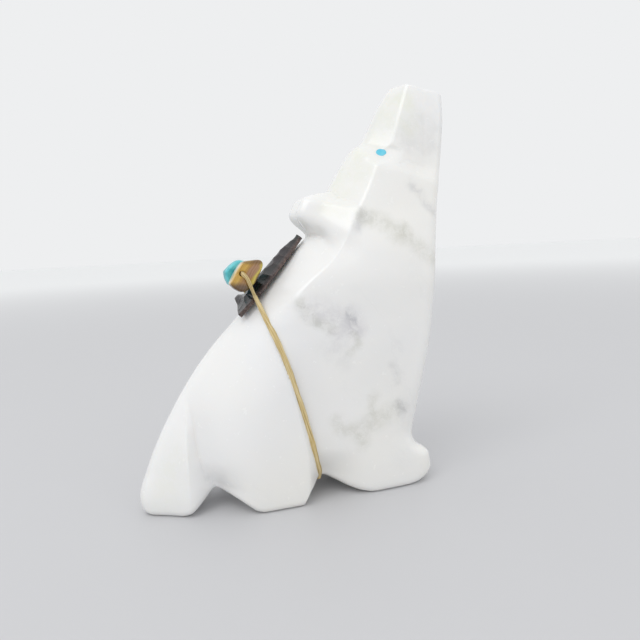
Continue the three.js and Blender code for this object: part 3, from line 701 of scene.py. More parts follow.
class Graph:
    """A material's node tree, built by expressions."""

    def __init__(self, name: str) -> None:
        """Starts an empty material.

        Args:
            name: The material's name.
        """
        self.material = bpy.data.materials.new(name)
        self.material.use_nodes = True
        self.tree = self.material.node_tree
        self.tree.nodes.clear()

    def node(
        self,
        kind: str,
        settings: dict[str, Any] | None = None,
        inputs: dict[str, Any] | list[Any] | None = None,
        output: str | int = 0,
    ) -> Socket:
        """Adds a node, sets its settings, then the values or links of its sockets.

        Args:
            kind: Blender's type name of the node.
            settings: Attributes of the node; "stops" holds a colour ramp's places and colours.
            inputs: Values or Sockets by socket name, or in order.
            output: Which output to return.

        Returns:
            The output, as a Socket.
        """
        made = self.tree.nodes.new(kind)
        for key, value in (settings or {}).items():
            if key == "stops":
                self._set_ramp(made, value)
            else:
                setattr(made, key, value)
        items = inputs.items() if isinstance(inputs, dict) else enumerate(inputs or [])
        for key, value in items:
            socket = self._input(made, key)
            if isinstance(value, Socket):
                self.tree.links.new(value.link, socket)
            else:
                socket.default_value = value
        return Socket(self, made.outputs[output])

    @staticmethod
    def _input(made: Any, key: str | int) -> Any:
        """Finds an input by number, or the enabled one of a name.

        Args:
            made: The node.
            key: The input's number or name.

        Returns:
            The input socket.
        """
        if isinstance(key, int):
            return made.inputs[key]
        named = [s for s in made.inputs if s.name == key and s.enabled]
        return named[0] if named else made.inputs[key]

    @staticmethod
    def _set_ramp(made: Any, stops: Sequence[tuple[float, tuple[float, float, float]]]) -> None:
        """Gives a colour ramp its stops.

        Args:
            made: The ramp's node.
            stops: Places from 0 to 1, each with its colour.
        """
        elements = made.color_ramp.elements
        while len(elements) < len(stops):
            elements.new(1.0)
        for element, (place, colour) in zip(elements, stops):
            element.position = place
            element.color = (*colour, 1.0)

    def place(self) -> Socket:
        """Object coordinates, in metres."""
        return self.node("ShaderNodeTexCoord", output="Object")

    def vector_math(self, operation: str, *values: Any, output: str | int = 0) -> Socket:
        """Adds a Vector Math node with this operation on values."""
        return self.node("ShaderNodeVectorMath", {"operation": operation}, list(values), output)

    def scaled(self, vector: Any, factor: Any) -> Socket:
        """A vector times a number."""
        return self.node("ShaderNodeVectorMath", {"operation": "SCALE"}, {"Vector": vector, "Scale": factor})

    def mapped(
        self, vector: Socket, scale: tuple[float, float, float], turn: tuple[float, float, float],
    ) -> Socket:
        """Turns and scales a vector for a pattern.

        Args:
            vector: The vector.
            scale: Scale along each axis, after the turn.
            turn: Angles about X, Y and Z, in radians.

        Returns:
            The mapped vector.
        """
        inputs = {"Vector": vector, "Rotation": turn}
        turned = self.node("ShaderNodeMapping", {"vector_type": "POINT"}, inputs)
        return self.vector_math("MULTIPLY", turned, scale)

    def noise(
        self, vector: Socket, scale: float, detail: float = 3.0, roughness: float = 0.5, warp: float = 0.0,
    ) -> Socket:
        """Fractal noise from 0 to 1 about 0.5.

        Args:
            vector: The place.
            scale: How many features there are in one unit of the place.
            detail: How many finer octaves are added.
            roughness: How strong each octave is beside the one before.
            warp: How far the noise distorts its own place.

        Returns:
            The noise.
        """
        inputs = {
            "Vector": vector, "Scale": scale, "Detail": detail, "Roughness": roughness, "Distortion": warp,
        }
        return self.node("ShaderNodeTexNoise", None, inputs, "Fac")

    def tint(self, share: Any, first: Any, second: Any) -> Socket:
        """Mixes two colours by a share.

        Args:
            share: 0 for the first colour, 1 for the second.
            first: A colour, or a Socket of one.
            second: The same.

        Returns:
            The mixed colour.
        """
        made = self.tree.nodes.new("ShaderNodeMix")
        made.data_type = "RGBA"
        for number, value in ((0, share), (6, first), (7, second)):
            if isinstance(value, Socket):
                self.tree.links.new(value.link, made.inputs[number])
            else:
                made.inputs[number].default_value = value if number == 0 else (*value, 1.0)
        return Socket(self, made.outputs[2])

    def warped(self, vector: Socket, scale: float, amount: float) -> Socket:
        """A vector pushed about by coloured noise, so that straight marks wander.

        Args:
            vector: The vector.
            scale: The noise's scale.
            amount: How far the noise's whole range moves it, in metres.

        Returns:
            The moved vector.
        """
        inputs = {"Vector": vector, "Scale": scale, "Detail": 3.0}
        push = self.node("ShaderNodeTexNoise", None, inputs, "Color")
        centred = self.vector_math("SUBTRACT", push, (0.5, 0.5, 0.5))
        return self.vector_math("ADD", vector, self.scaled(centred, amount))

    def from_line(self, vector: Socket, start: Array, end: Array) -> Socket:
        """The distance from a line between two points, by projecting on it.

        Args:
            vector: The place.
            start: The line's start, in metres.
            end: The line's end.

        Returns:
            The distance, in metres.
        """
        along = np.asarray(end, float) - np.asarray(start, float)
        length = float(np.linalg.norm(along))
        unit = tuple(along / length)
        rel = self.vector_math("SUBTRACT", vector, tuple(start))
        dot = self.vector_math("DOT_PRODUCT", rel, unit, output="Value")
        foot = self.scaled(unit, dot.largest(0.0).smallest(length))
        apart = self.vector_math("SUBTRACT", rel, foot)
        return self.vector_math("LENGTH", apart, output="Value")

    def bump(self, height: Socket, distance: float, strength: float = 1.0) -> Socket:
        """A bump node's normal, from a height in shares of a distance in metres."""
        inputs = {"Height": height, "Distance": distance, "Strength": strength}
        return self.node("ShaderNodeBump", None, inputs)

    def finish(self, **sockets: Any) -> bpy.types.Material:
        """Adds the principled shader and the output.

        Args:
            **sockets: Values or Sockets by the shader's socket names, with _ for spaces.

        Returns:
            The finished material.
        """
        inputs = {key.replace("_", " "): value for key, value in sockets.items()}
        shader = self.node("ShaderNodeBsdfPrincipled", None, inputs)
        self.node_output(shader)
        return self.material

    def node_output(self, shader: Socket) -> None:
        """Links the shader to the material's output."""
        out = self.tree.nodes.new("ShaderNodeOutputMaterial")
        self.tree.links.new(shader.link, out.inputs["Surface"])


def linear(red: float, green: float, blue: float) -> tuple[float, float, float]:
    """Takes a colour as seen, from 0 to 255, to the shader's linear values.

    Args:
        red: The red channel.
        green: The green channel.
        blue: The blue channel.

    Returns:
        The three linear values.
    """
    def channel(value: float) -> float:
        """Takes one channel to its linear value, by the sRGB curve."""
        share = value / 255
        return share / 12.92 if share <= 0.04045 else ((share + 0.055) / 1.055) ** 2.4
    return channel(red), channel(green), channel(blue)


@dataclass(frozen=True)
class Vein:
    """A vein or smudge on one side: x and z of its points, in millimetres from the tail."""

    points: tuple[tuple[float, float], ...]
    width: float
    strength: float
    tint: tuple[float, float, float]
    side: Side = Side.NEAR


GREY = linear(140, 142, 150)
OLIVE = linear(150, 150, 124)
PLUM = linear(150, 144, 158)
MOSS = linear(222, 226, 196)


@dataclass(frozen=True)
class MarbleFinish:
    """Polished white marble: warm and cool clouds, soft grey smoke and broken veins, one of which also paints
    the shade in the crease at the ear's corner.
    """

    white: tuple[float, float, float] = linear(240, 240, 240)
    warm: tuple[float, float, float] = linear(244, 241, 230)
    cloud: tuple[float, float, float] = linear(214, 216, 220)
    roughness: float = 0.22
    vein_reach: float = 2.2
    vein_strength: float = 0.72
    veins: tuple[Vein, ...] = field(default_factory=lambda: (
        Vein(((29.3, 36.7), (30.7, 34.4), (32.0, 33.3), (34.5, 31.9)), 0.9, 0.42, OLIVE),
        Vein(((31.5, 35.5), (35.8, 33.6), (38.0, 33.7), (39.0, 32.3)), 1.9, 0.3, PLUM),
        Vein(((38.6, 31.4), (36.3, 30.4)), 1.9, 0.26, PLUM),
        Vein(((37.8, 34.1), (39.1, 32.9)), 0.7, 0.5, GREY),
        Vein(((38.9, 30.6), (39.7, 28.4), (37.5, 26.9)), 0.6, 0.3, OLIVE),
        Vein(((33.6, 28.5), (36.5, 26.0)), 1.6, 0.14, GREY),
        Vein(((46.1, 24.3), (46.8, 22.7), (47.2, 21.0)), 0.8, 0.24, GREY),
        Vein(((47.6, 16.6), (48.3, 15.0)), 0.9, 0.5, GREY),
        Vein(((42.2, 18.5), (41.6, 15.6)), 0.9, 0.3, OLIVE),
        Vein(((34.9, 14.8), (35.8, 13.2)), 1.1, 0.3, OLIVE),
        Vein(((38.0, 13.0), (39.6, 10.2)), 1.2, 0.34, OLIVE),
        Vein(((40.2, 13.2), (43.4, 14.4), (46.4, 15.6)), 1.5, 0.32, OLIVE),
        # Partly a grey vein and partly painted shade in the crease at the ear's corner by the cheek
        Vein(((42.6, 51.8), (41.7, 50.9), (41.2, 49.4)), 0.9, 0.42, GREY),
        Vein(((42.7, 51.5), (46.8, 49.8), (48.7, 47.6), (50.2, 48.0)), 1.3, 0.38, OLIVE),
        Vein(((50.2, 48.0), (53.4, 44.9), (57.5, 41.8)), 1.3, 0.32, OLIVE),
        Vein(((52.4, 57.0), (54.7, 54.3), (56.6, 52.0)), 0.8, 0.36, GREY),
        Vein(((52.5, 66.8), (55.6, 68.0), (60.0, 66.0)), 2.2, 0.14, GREY),
        Vein(((53.0, 64.6), (58.1, 62.9)), 1.2, 0.16, GREY),
        Vein(((53.4, 72.5), (53.9, 67.5)), 1.6, 0.34, MOSS),
        Vein(((48.2, 66.5), (51.0, 73.0)), 2.2, 0.34, MOSS),
        Vein(((40.5, 57.5), (44.5, 62.5)), 2.4, 0.4, MOSS),
        Vein(((36.5, 53.5), (39.5, 52.0)), 1.5, 0.3, MOSS),
        Vein(((4.0, 3.0), (6.5, 11.0)), 3.0, 0.2, MOSS),
        Vein(((46.0, 40.0), (50.0, 33.0), (46.0, 27.0)), 1.6, 0.28, OLIVE, Side.FAR),
        Vein(((30.0, 33.0), (35.0, 29.0), (37.0, 24.0)), 1.3, 0.3, PLUM, Side.FAR),
        Vein(((20.0, 14.0), (26.0, 19.0)), 1.4, 0.22, GREY, Side.FAR),
        Vein(((50.0, 57.0), (56.0, 50.0)), 1.2, 0.28, GREY, Side.FAR),
    ))

    def vein_mask(self, graph: Graph, place: Socket, vein: Vein) -> Socket:
        """The mask of one vein in the side view: strong on its line, fading over its width.

        Args:
            graph: The material's graph.
            place: Object coordinates laid flat on the middle plane.
            vein: The vein.

        Returns:
            The mask, from 0 to the vein's strength.
        """
        near: Socket | None = None
        points = tail_to_frame(np.insert(np.array(vein.points), 1, 0.0, axis=1))
        for start, end in zip(points[:-1], points[1:]):
            apart = graph.from_line(place, start, end)
            near = apart if near is None else near.smallest(apart)
        faded = 1 - near.step(0.0, self.vein_reach * vein.width * MM)
        return faded ** 1.3 * vein.strength * self.vein_strength

    def material(self) -> bpy.types.Material:
        """Builds the stone's material.

        Returns:
            The material.
        """
        graph = Graph("white_marble")
        place = graph.place()
        wander = graph.warped(place, 420.0, 0.0022)
        clouds = graph.noise(place, 34.0, 4.0, 0.55, 0.6).step(0.42, 0.78)
        warmth = graph.noise(place, 22.0, 2.0, 0.5).step(0.35, 0.7)
        colour = graph.tint(warmth * 0.5, self.white, self.warm)
        colour = graph.tint(clouds * 0.22, colour, self.cloud)
        stretched = graph.mapped(wander, (1.0, 1.0, 0.45), (0.3, 0.5, 0.2))
        thread = graph.noise(stretched, 42.0, 5.0, 0.6, 1.2)
        ridge = 1 - graph.node("ShaderNodeMath", {"operation": "ABSOLUTE"}, [thread - 0.5]).step(0.0, 0.018)
        colour = graph.tint(ridge * clouds * 0.05, colour, GREY)
        broken = graph.noise(wander, 380.0, 6.0, 0.75).step(0.36, 0.62)
        flat = graph.vector_math("MULTIPLY", wander, (1.0, 0.0, 1.0))
        y = graph.node("ShaderNodeSeparateXYZ", None, [place], 1)
        for vein in self.veins:
            facing = (y * vein.side.value).step(0.0, 0.0015)
            mask = self.vein_mask(graph, flat, vein) * facing * (0.3 + broken * 0.7)
            colour = graph.tint(mask, colour, vein.tint)
        polish = graph.noise(place, 900.0, 3.0, 0.6)
        bump = graph.bump(graph.noise(place, 120.0, 2.0, 0.5), 0.00012, 0.35)
        return graph.finish(
            Base_Color=colour, Roughness=self.roughness + polish * 0.08, Normal=bump,
            Subsurface_Weight=0.25, Subsurface_Radius=(1.0, 0.9, 0.8), Subsurface_Scale=0.004,
            IOR=1.5, Coat_Weight=0.3, Coat_Roughness=0.08,
        )


@dataclass(frozen=True)
class TurquoiseFinish:
    """Turquoise: blue to green clouds, with dark matrix in thin broken lines."""

    name: str
    body: tuple[float, float, float]
    cloud: tuple[float, float, float]
    matrix: tuple[float, float, float] = linear(52, 50, 44)
    matrix_share: float = 1.0
    roughness: float = 0.3

    def material(self) -> bpy.types.Material:
        """Builds the turquoise's material.

        Returns:
            The material.
        """
        graph = Graph(self.name)
        place = graph.place()
        wander = graph.warped(place, 420.0, 0.0022)
        clouds = graph.noise(place, 330.0, 4.0, 0.55, 0.8).step(0.3, 0.72)
        colour = graph.tint(clouds, self.body, self.cloud)
        settings = {"feature": "DISTANCE_TO_EDGE"}
        inputs = {"Vector": wander, "Scale": 330.0}
        cells = graph.node("ShaderNodeTexVoronoi", settings, inputs, "Distance")
        lines = (1 - cells.step(0.01, 0.085)) * graph.noise(place, 300.0, 2.0).step(0.5, 0.62)
        colour = graph.tint(lines * self.matrix_share, colour, self.matrix)
        bump = graph.bump(graph.noise(place, 900.0, 3.0) - lines * 0.4, 0.00008, 0.5)
        rough = self.roughness + lines * 0.2 + graph.noise(place, 700.0) * 0.12
        return graph.finish(Base_Color=colour, Roughness=rough, Normal=bump, IOR=1.5)


@dataclass(frozen=True)
class TigersEyeFinish:
    """Polished tiger's-eye: golden bands across the chip, a pinkish brown heart and dark rims."""

    middle: tuple[float, float, float]
    band_way: tuple[float, float, float]
    rim_way: tuple[float, float, float]
    rust: tuple[float, float, float] = linear(158, 118, 88)
    rim: tuple[float, float, float] = linear(74, 48, 20)
    band_start: float = -1.1
    band_span: float = 4.0
    heart_at: tuple[float, float] = (1.46, 0.69)
    heart_radii: tuple[float, float] = (0.75, 1.2)
    foot_at: float = -2.2
    top_at: float = 1.8
    roughness: float = 0.2

    def material(self) -> bpy.types.Material:
        """Builds the tiger's-eye's material about its middle, with bands across one direction.

        Returns:
            The material.
        """
        graph = Graph("tigers_eye")
        place = graph.place()
        wander = graph.warped(place, 320.0, 0.0009)
        rel = graph.vector_math("SUBTRACT", wander, self.middle)
        along = graph.vector_math("DOT_PRODUCT", rel, self.band_way, output="Value")
        rise = graph.vector_math("DOT_PRODUCT", rel, self.rim_way, output="Value")
        stops = [
            (0.0, linear(232, 214, 190)), (0.06, linear(214, 180, 110)), (0.12, linear(188, 146, 52)),
            (0.26, linear(206, 166, 66)), (0.38, linear(178, 136, 52)), (0.5, linear(160, 116, 58)),
            (0.7, linear(166, 124, 62)), (0.79, linear(190, 170, 62)), (0.87, linear(206, 186, 84)),
            (0.95, linear(120, 88, 36)), (1.0, linear(96, 66, 26)),
        ]
        share = (along / MM - self.band_start) / self.band_span
        colour = graph.node("ShaderNodeValToRGB", {"stops": stops}, {"Fac": share}, "Color")
        off_along = (along / MM - self.heart_at[0]) / self.heart_radii[0]
        off_rise = (rise / MM - self.heart_at[1]) / self.heart_radii[1]
        heart = off_along ** 2.0 + off_rise ** 2.0
        colour = graph.tint((1 - heart.step(0.5, 1.5)) * 0.9, colour, self.rust)
        fibre = graph.noise(graph.scaled(self.band_way, along), 4200.0, 3.0, 0.6)
        colour = graph.tint(fibre.step(0.5, 0.75) * 0.14, colour, linear(232, 204, 130))
        colour = graph.tint((1 - fibre.step(0.3, 0.48)) * 0.14, colour, linear(120, 84, 36))
        shade = graph.noise(wander, 900.0, 3.0) * 0.5
        foot = 1 - (rise / MM - self.foot_at + shade).step(0.0, 1.1)
        top = (rise / MM - self.top_at + shade).step(0.0, 0.7)
        colour = graph.tint(foot * 0.9, colour, self.rim)
        colour = graph.tint(top * 0.6, colour, self.rim)
        bump = graph.bump(graph.noise(place, 700.0, 3.0), 0.00006, 0.4)
        return graph.finish(
            Base_Color=colour, Roughness=self.roughness + fibre * 0.15, Normal=bump,
            IOR=1.55, Coat_Weight=0.5, Coat_Roughness=0.06,
        )


@dataclass(frozen=True)
class ArrowheadFinish:
    """Knapped dark stone: grey with a purple and a green cast, brown along its near wall, and paler along
    ridges and edges, where a sheen is painted.
    """

    stone: tuple[float, float, float] = linear(40, 38, 40)
    green: tuple[float, float, float] = linear(38, 43, 40)
    purple: tuple[float, float, float] = linear(44, 35, 39)
    # The pale colour of the painted sheen on the ridges
    worn: tuple[float, float, float] = linear(118, 100, 94)
    wall: tuple[float, float, float] = linear(70, 58, 57)
    roughness: float = 0.2

    def material(self) -> bpy.types.Material:
        """Builds the arrowhead's material, with the rim attribute of the piece and the attribute that places
        a painted sheen on its ridges.

        Returns:
            The material.
        """
        graph = Graph("arrowhead_stone")
        place = graph.place()
        drift = graph.noise(place, 190.0, 3.0, 0.5, 0.5)
        colour = graph.tint(drift.step(0.4, 0.6), self.green, self.purple)
        colour = graph.tint(graph.noise(place, 520.0, 4.0).step(0.3, 0.7) * 0.6, colour, self.stone)
        edge_sheen = graph.node("ShaderNodeAttribute", {"attribute_name": "edge_sheen"}, None, "Fac")
        rim = graph.node("ShaderNodeAttribute", {"attribute_name": "rim"}, None, "Fac")
        colour = graph.tint(rim * (0.55 + graph.noise(place, 900.0, 3.0) * 0.6), colour, self.wall)
        # Painted sheen: ridges that stand proud are paler and rougher, in place of the light they catch
        painted_sheen = edge_sheen * graph.noise(place, 1500.0, 4.0, 0.65).step(0.35, 0.65)
        colour = graph.tint(painted_sheen * 0.75, colour, self.worn)
        bump = graph.bump(graph.noise(place, 1100.0, 4.0, 0.6), 0.00012, 0.6)
        rough = self.roughness + painted_sheen * 0.3 + rim * 0.15 + drift * 0.1
        return graph.finish(Base_Color=colour, Roughness=rough, Normal=bump, IOR=1.5)


@dataclass(frozen=True)
class SinewFinish:
    """Waxed split sinew: pale tan fibres that run along it, with painted shade in the furrows between them
    and below them.
    """

    pale: tuple[float, float, float] = linear(230, 212, 166)
    tan: tuple[float, float, float] = linear(192, 166, 106)
    # The colour of the painted shade in the furrows
    dark: tuple[float, float, float] = linear(132, 108, 62)
    roughness: float = 0.42

    def material(self) -> bpy.types.Material:
        """Builds the sinew's material on its UV map: U a share round it, V millimetres along it.

        Returns:
            The material.
        """
        graph = Graph("sinew")
        uv = graph.node("ShaderNodeTexCoord", output="UV")
        fibre = graph.noise(graph.vector_math("MULTIPLY", uv, (9.0, 0.16, 1.0)), 1.0, 4.0, 0.6, 0.3)
        patches = graph.noise(graph.vector_math("MULTIPLY", uv, (1.0, 0.2, 1.0)), 1.0, 2.0)
        colour = graph.tint(fibre.step(0.32, 0.68), self.tan, self.pale)
        # Painted shade: darker where the bump's fibres are low, in the furrows between them
        colour = graph.tint((1 - fibre.step(0.28, 0.45)) * 0.7, colour, self.dark)
        colour = graph.tint(patches.step(0.45, 0.7) * 0.4, colour, self.tan)
        bump = graph.bump(fibre, 0.00016, 0.8)
        return graph.finish(Base_Color=colour, Roughness=self.roughness + fibre * 0.15, Normal=bump, IOR=1.45)


@dataclass
class CarvedBody:
    """The whole stone, with a pocket drilled for each eye."""

    stone: CoyoteStone
    eye_radius: float = 0.95
    eye_gap: float = 0.04
    eye_depth: float = 1.8
    eye_length: float = 1.5
    eye_proud: float = 0.15
    eye_at: tuple[float, float] = (63.28, 83.15)
    rows: int = 236

    def _stations(self) -> Array:
        """Stations from spine to chest, closest together on the back's facet, where the ears are.

        Returns:
            The stations.
        """
        s = self.stone
        valley = s.SIDE_START + s.HAUNCH
        ends = [0, s.SPINE, s.ROOF_END, s.SIDE_START, valley, s.SIDE_END, s.CHEST_START, s.HALF_ROUND]
        counts = [6, 54, 16, 34, 40, 14, 10]
        runs = [np.linspace(a, b, n, endpoint=False) for a, b, n in zip(ends[:-1], ends[1:], counts)]
        return np.concatenate([*runs, [s.HALF_ROUND]])

    def _levels(self) -> Array:
        """Levels of the rows: closer together at the base, on top of the ears and at the nose.

        Between the two roundings the rows share out a density of 1 + 3 bell about the ears' top.

        Returns:
            The levels, in millimetres.
        """
        foot = self.stone.sizes.base_rounding
        nose = FIGURE_HEIGHT - self.stone.sizes.nose_rounding
        turn = np.linspace(0, math.pi / 2, 9)
        low = foot * (1 - np.cos(turn))
        high = nose + self.stone.sizes.nose_rounding * np.sin(turn)
        climb = np.linspace(foot, nose, 600)
        density = 1 + 3 * bell(climb / UNIT, 74.0, 3.0, 2.5)
        passed = np.cumsum(density) / density.sum()
        middle = np.interp(np.linspace(passed[0], 1, self.rows), passed, climb)[1:-1]
        return np.concatenate([low, middle, high])

    def _skin_rings(self) -> Array:
        """Rings of the skin, near side then far side, from the underside's middle to the nose's.

        The underside and the nose are closed by rings drawn in to the middle plane: y times
        (1 - t), with x and z kept.

        Returns:
            Points by rings and by places round, in millimetres.
        """
        station, level = np.meshgrid(self._stations(), self._levels())
        near = self.stone.skin(station, level)
        far = near[:, -2:0:-1] * np.array([1, -1, 1])
        rings = np.concatenate([near, far], 1)
        shrink = np.linspace(0, 1, 6)[:, None, None]
        narrow = np.concatenate([np.ones((6, 1, 1)), 1 - shrink, np.ones((6, 1, 1))], 2)
        return np.concatenate([(rings[:1] * narrow)[:0:-1], rings, (rings[-1:] * narrow)[1:]])

    def eye_place(self, side: Side) -> tuple[Array, Array]:
        """The middle of an eye on the skin and the direction that it faces.

        Args:
            side: The eye's side.

        Returns:
            The point and the direction.
        """
        station, level = self.stone.find(self.eye_at[0] * UNIT, self.eye_at[1] * UNIT)
        flip = np.array([1, -side.value, 1])
        return self.stone.skin(station, level)[0] * flip, self.stone.normal(station, level)[0] * flip

    def _drill(self, piece: bpy.types.Object) -> None:
        """Cuts the eyes' pockets with rods made by bmesh, then marks sharp edges again.

        Args:
            piece: The stone, changed in place.
        """
        for side in Side:
            point, way = self.eye_place(side)
            rod = bmesh.new()
            turn = Vector((0, 0, 1)).rotation_difference(Vector(way)).to_matrix().to_4x4()
            middle = tail_to_frame(point + way * (1 - self.eye_depth) / 2)
            bmesh.ops.create_cone(
                rod, cap_ends=True, segments=48, radius1=(self.eye_radius + self.eye_gap) * MM,
                radius2=(self.eye_radius + self.eye_gap) * MM, depth=(self.eye_depth + 1) * MM,
                matrix=Matrix.Translation(middle) @ turn,
            )
            mesh = bpy.data.meshes.new("pocket_rod")
            rod.to_mesh(mesh)
            rod.free()
            cutter = bpy.data.objects.new("pocket_rod", mesh)
            bpy.context.scene.collection.objects.link(cutter)
            cut = piece.modifiers.new("pocket", "BOOLEAN")
            cut.object, cut.operation, cut.solver = cutter, "DIFFERENCE", "MANIFOLD"
            bpy.context.view_layer.update()
            done = bpy.data.meshes.new_from_object(piece.evaluated_get(bpy.context.evaluated_depsgraph_get()))
            piece.modifiers.clear()
            old, piece.data = piece.data, done
            bpy.data.meshes.remove(old)
            bpy.data.objects.remove(cutter)
        tidy = bmesh.new()
        tidy.from_mesh(piece.data)
        mark_sharp(tidy, CREASE_ANGLE)
        tidy.to_mesh(piece.data)
        tidy.free()

    def build(self, finish: MarbleFinish) -> bpy.types.Object:
        """Makes the stone, drills it and dresses it.

        Args:
            finish: The marble.

        Returns:
            The piece.
        """
        vertices, quads = closed_grid(tail_to_frame(self._skin_rings()))
        piece = mesh_object("coyote_stone", vertices, quads)
        self._drill(piece)
        piece.data.name = "coyote_stone"
        attach(piece, ["carved_body"], finish.material())
        return piece

    def build_eye(self, side: Side, finish: bpy.types.Material) -> bpy.types.Object:
        """Makes an inlay: a revolved profile with a low crown, on the pocket's axis.

        Args:
            side: The eye's side.
            finish: Its material.

        Returns:
            The piece.
        """
        point, way = self.eye_place(side)
        crown = np.linspace(0, math.pi / 2, 10)
        radius = np.concatenate([[0.0], [self.eye_radius] * 3, self.eye_radius * np.cos(crown[1:])])
        foot = -self.eye_length
        rise = np.concatenate([[foot], [foot, -0.7, 0.0], self.eye_proud * np.sin(crown[1:])])
        turn = np.linspace(0, 2 * math.pi, 40, endpoint=False)
        first = np.cross(way, [0.0, 0.0, 1.0])
        first /= np.linalg.norm(first)
        second = np.cross(way, first)
        ring = np.cos(turn)[:, None] * first + np.sin(turn)[:, None] * second
        points = point + radius[:, None, None] * ring[None] + rise[:, None, None] * way
        vertices, quads = closed_grid(tail_to_frame(points))
        name = "right_eye" if side is Side.NEAR else "left_eye"
        piece = mesh_object(name, vertices, quads, 0.9)
        attach(piece, [f"{name}_inlay"], finish)
        return piece


@dataclass
class Bundle:
    """The arrowhead, the two chips and the sinew that ties them on the back.

    Sizes are in millimetres. The belly's place and the stretch of the back under the arrowhead are
    in hundredths of the figure's height. The knot's ends each have a lean and a length, and the
    bands and the rims of the tiger's-eye run by shares along the arrowhead and above it.
    """

    stone: CoyoteStone
    gap: float = 0.3
    arrow_length: float = 18.8
    arrow_width: float = 8.8
    arrow_tip_width: float = 1.7
    arrow_thickness: float = 1.6
    arrow_edge: float = 0.75
    base_slant: float = 2.4
    far_ear_rise: float = 1.1
    notch_depth: float = 0.9
    notch_width: float = 1.5
    notch_from_base: float = 4.4
    hole_from_base: float = 6.0
    chips_near_face: float = -4.6
    tigers_eye_thickness: float = 3.0
    turquoise_thickness: float = 3.4
    hole_radius: float = 0.52
    sinew_width: float = 0.98
    sinew_thickness: float = 0.56
    knot_height: float = 25.0
    knot_turns: float = 2.5
    knot_radius: float = 0.78
    knot_length: float = 1.7
    knot_ends: tuple[tuple[float, float], ...] = ((-0.42, 3.9), (0.25, 3.2))
    belly_at: float = 42.2
    back_low: float = 45.3
    back_high: float = 63.0
    band_shares: tuple[float, float] = (0.17, -0.985)
    rim_shares: tuple[float, float] = (0.78, 0.62)

    def __post_init__(self) -> None:
        """Sets up the frame along the back: where it starts, along it and above it."""
        foot, tip = (
            np.array([self.stone.spine_x(height), 0, height * UNIT])
            for height in (self.back_low, self.back_high)
        )
        self.foot = foot
        self.along = (tip - foot) / np.linalg.norm(tip - foot)
        self.above = np.array([-self.along[2], 0, self.along[0]])
        self.chips_above = 2 * self.gap + self.arrow_thickness
        self.hole_above = self.chips_above - min(above for _, above in TIGERS_EYE_OUTLINE)
        self.outline = Curve([(0, 0.91), (0.27, 1), (0.43, 0.86), (0.53, 0.78), (0.77, 0.49), (1, 0)])

    def over_back(self, along: float | Array, across: float | Array, above: float | Array) -> Array:
        """Points given along the arrowhead, across it and above the line of the back under it.

        Args:
            along: Distances from the arrowhead's base, in millimetres.
            across: Distances from the middle plane, to the far side.
            above: Distances above the line of the back.

        Returns:
            The points.
        """
        along, across, above = np.broadcast_arrays(along, across, above)
        points = self.foot + along[..., None] * self.along + above[..., None] * self.above
        return points + across[..., None] * np.array([0.0, 1.0, 0.0])

    def arrow_half_width(self, along: Array, notch_depth: float | Array) -> Array:
        """Half the arrowhead's width: a blade outline less the two notches for the binding.

        Args:
            along: Distances from the base, in millimetres.
            notch_depth: How deep the notch is.

        Returns:
            The half widths.
        """
        blade = mix(self.arrow_tip_width, self.arrow_width, self.outline(along / self.arrow_length)) / 2
        off = np.abs(along - self.notch_from_base) / (self.notch_width / 2)
        return blade - notch_depth * (1 - ease(0.45, 1.25, off))

    def build_arrowhead(self, finish: bpy.types.Material) -> bpy.types.Object:
        """Makes the arrowhead: a top chipped by flake scars, on a flat underside and a slant base.

        The top's height over the width t from -1 to 1 is edge + rise (1 - |t|^1.6), and more at
        the far ear. From it, scars are scooped that meet in sharp ridges: the deepest of several
        bowls depth (1 - d²), with d the distance from the bowl's middle in its radii. The base's
        slant pushes a ring along by slant (t + 1) / 2, fading away from the base.

        Args:
            finish: Its material.

        Returns:
            The piece.
        """
        along = np.linspace(0, self.arrow_length, 170)[:, None]
        t = np.linspace(-1, 1, 72)[None, :]
        half = self.arrow_half_width(along, self.notch_depth * np.where(t > 0, 0.35, 1.0))
        taper = 1 - 0.35 * ease(0.75, 1, along / self.arrow_length)
        thinned = 1 - 0.34 * (1 - ease(0, 4, along))
        rise = (self.arrow_thickness * thinned - self.arrow_edge) * taper
        ear = self.far_ear_rise * (1 - ease(0.5, 4.4, along)) * ease(0.1, 1, t)
        dome = self.arrow_edge * taper + rise * (1 - np.abs(t) ** 1.6) * 1.2 + ear
        across = t * half
        scars = 0 * dome
        for at, off, radius, depth in FLAKE_SCARS:
            apart = ((along - at) / radius) ** 2 + ((across - off) / (1.35 * radius)) ** 2
            scars = np.maximum(scars, depth * (1 - apart))
        top = dome - scars
        side = np.sign(t) + (t == 0)
        nibble = 0.07 * np.sin(along * 5.1 + side) + 0.05 * np.sin(along * 11.3 + 2 * side)
        width = half + nibble * np.abs(t) ** 4 * ease(0, 0.6, along) * ease(0, 0.6, self.arrow_length - along)
        slant = self.base_slant * (1 - ease(0, 5, along))
        slid = along + slant * (t + 1) / 2
        upper = self.over_back(slid, t * width, self.gap * 0.4 + top)
        hollow = 0.12 * (1 - t**2)
        lower = self.over_back(slid, t * width * 0.96, self.gap * 0.3 + hollow + 0 * along)[:, ::-1]
        rings = np.concatenate([upper, lower], 1)
        base, tip = (np.broadcast_to(rings[end].mean(0), rings[:1].shape) for end in (0, -1))
        points = np.concatenate([base, rings, tip])
        vertices, quads = closed_grid(tail_to_frame(points))
        piece = mesh_object("arrowhead_point", vertices, quads, 0.5)
        self._mark_edge_sheen(piece)
        self._mark_rim(piece)
        attach(piece, ["arrowhead"], finish)
        return piece

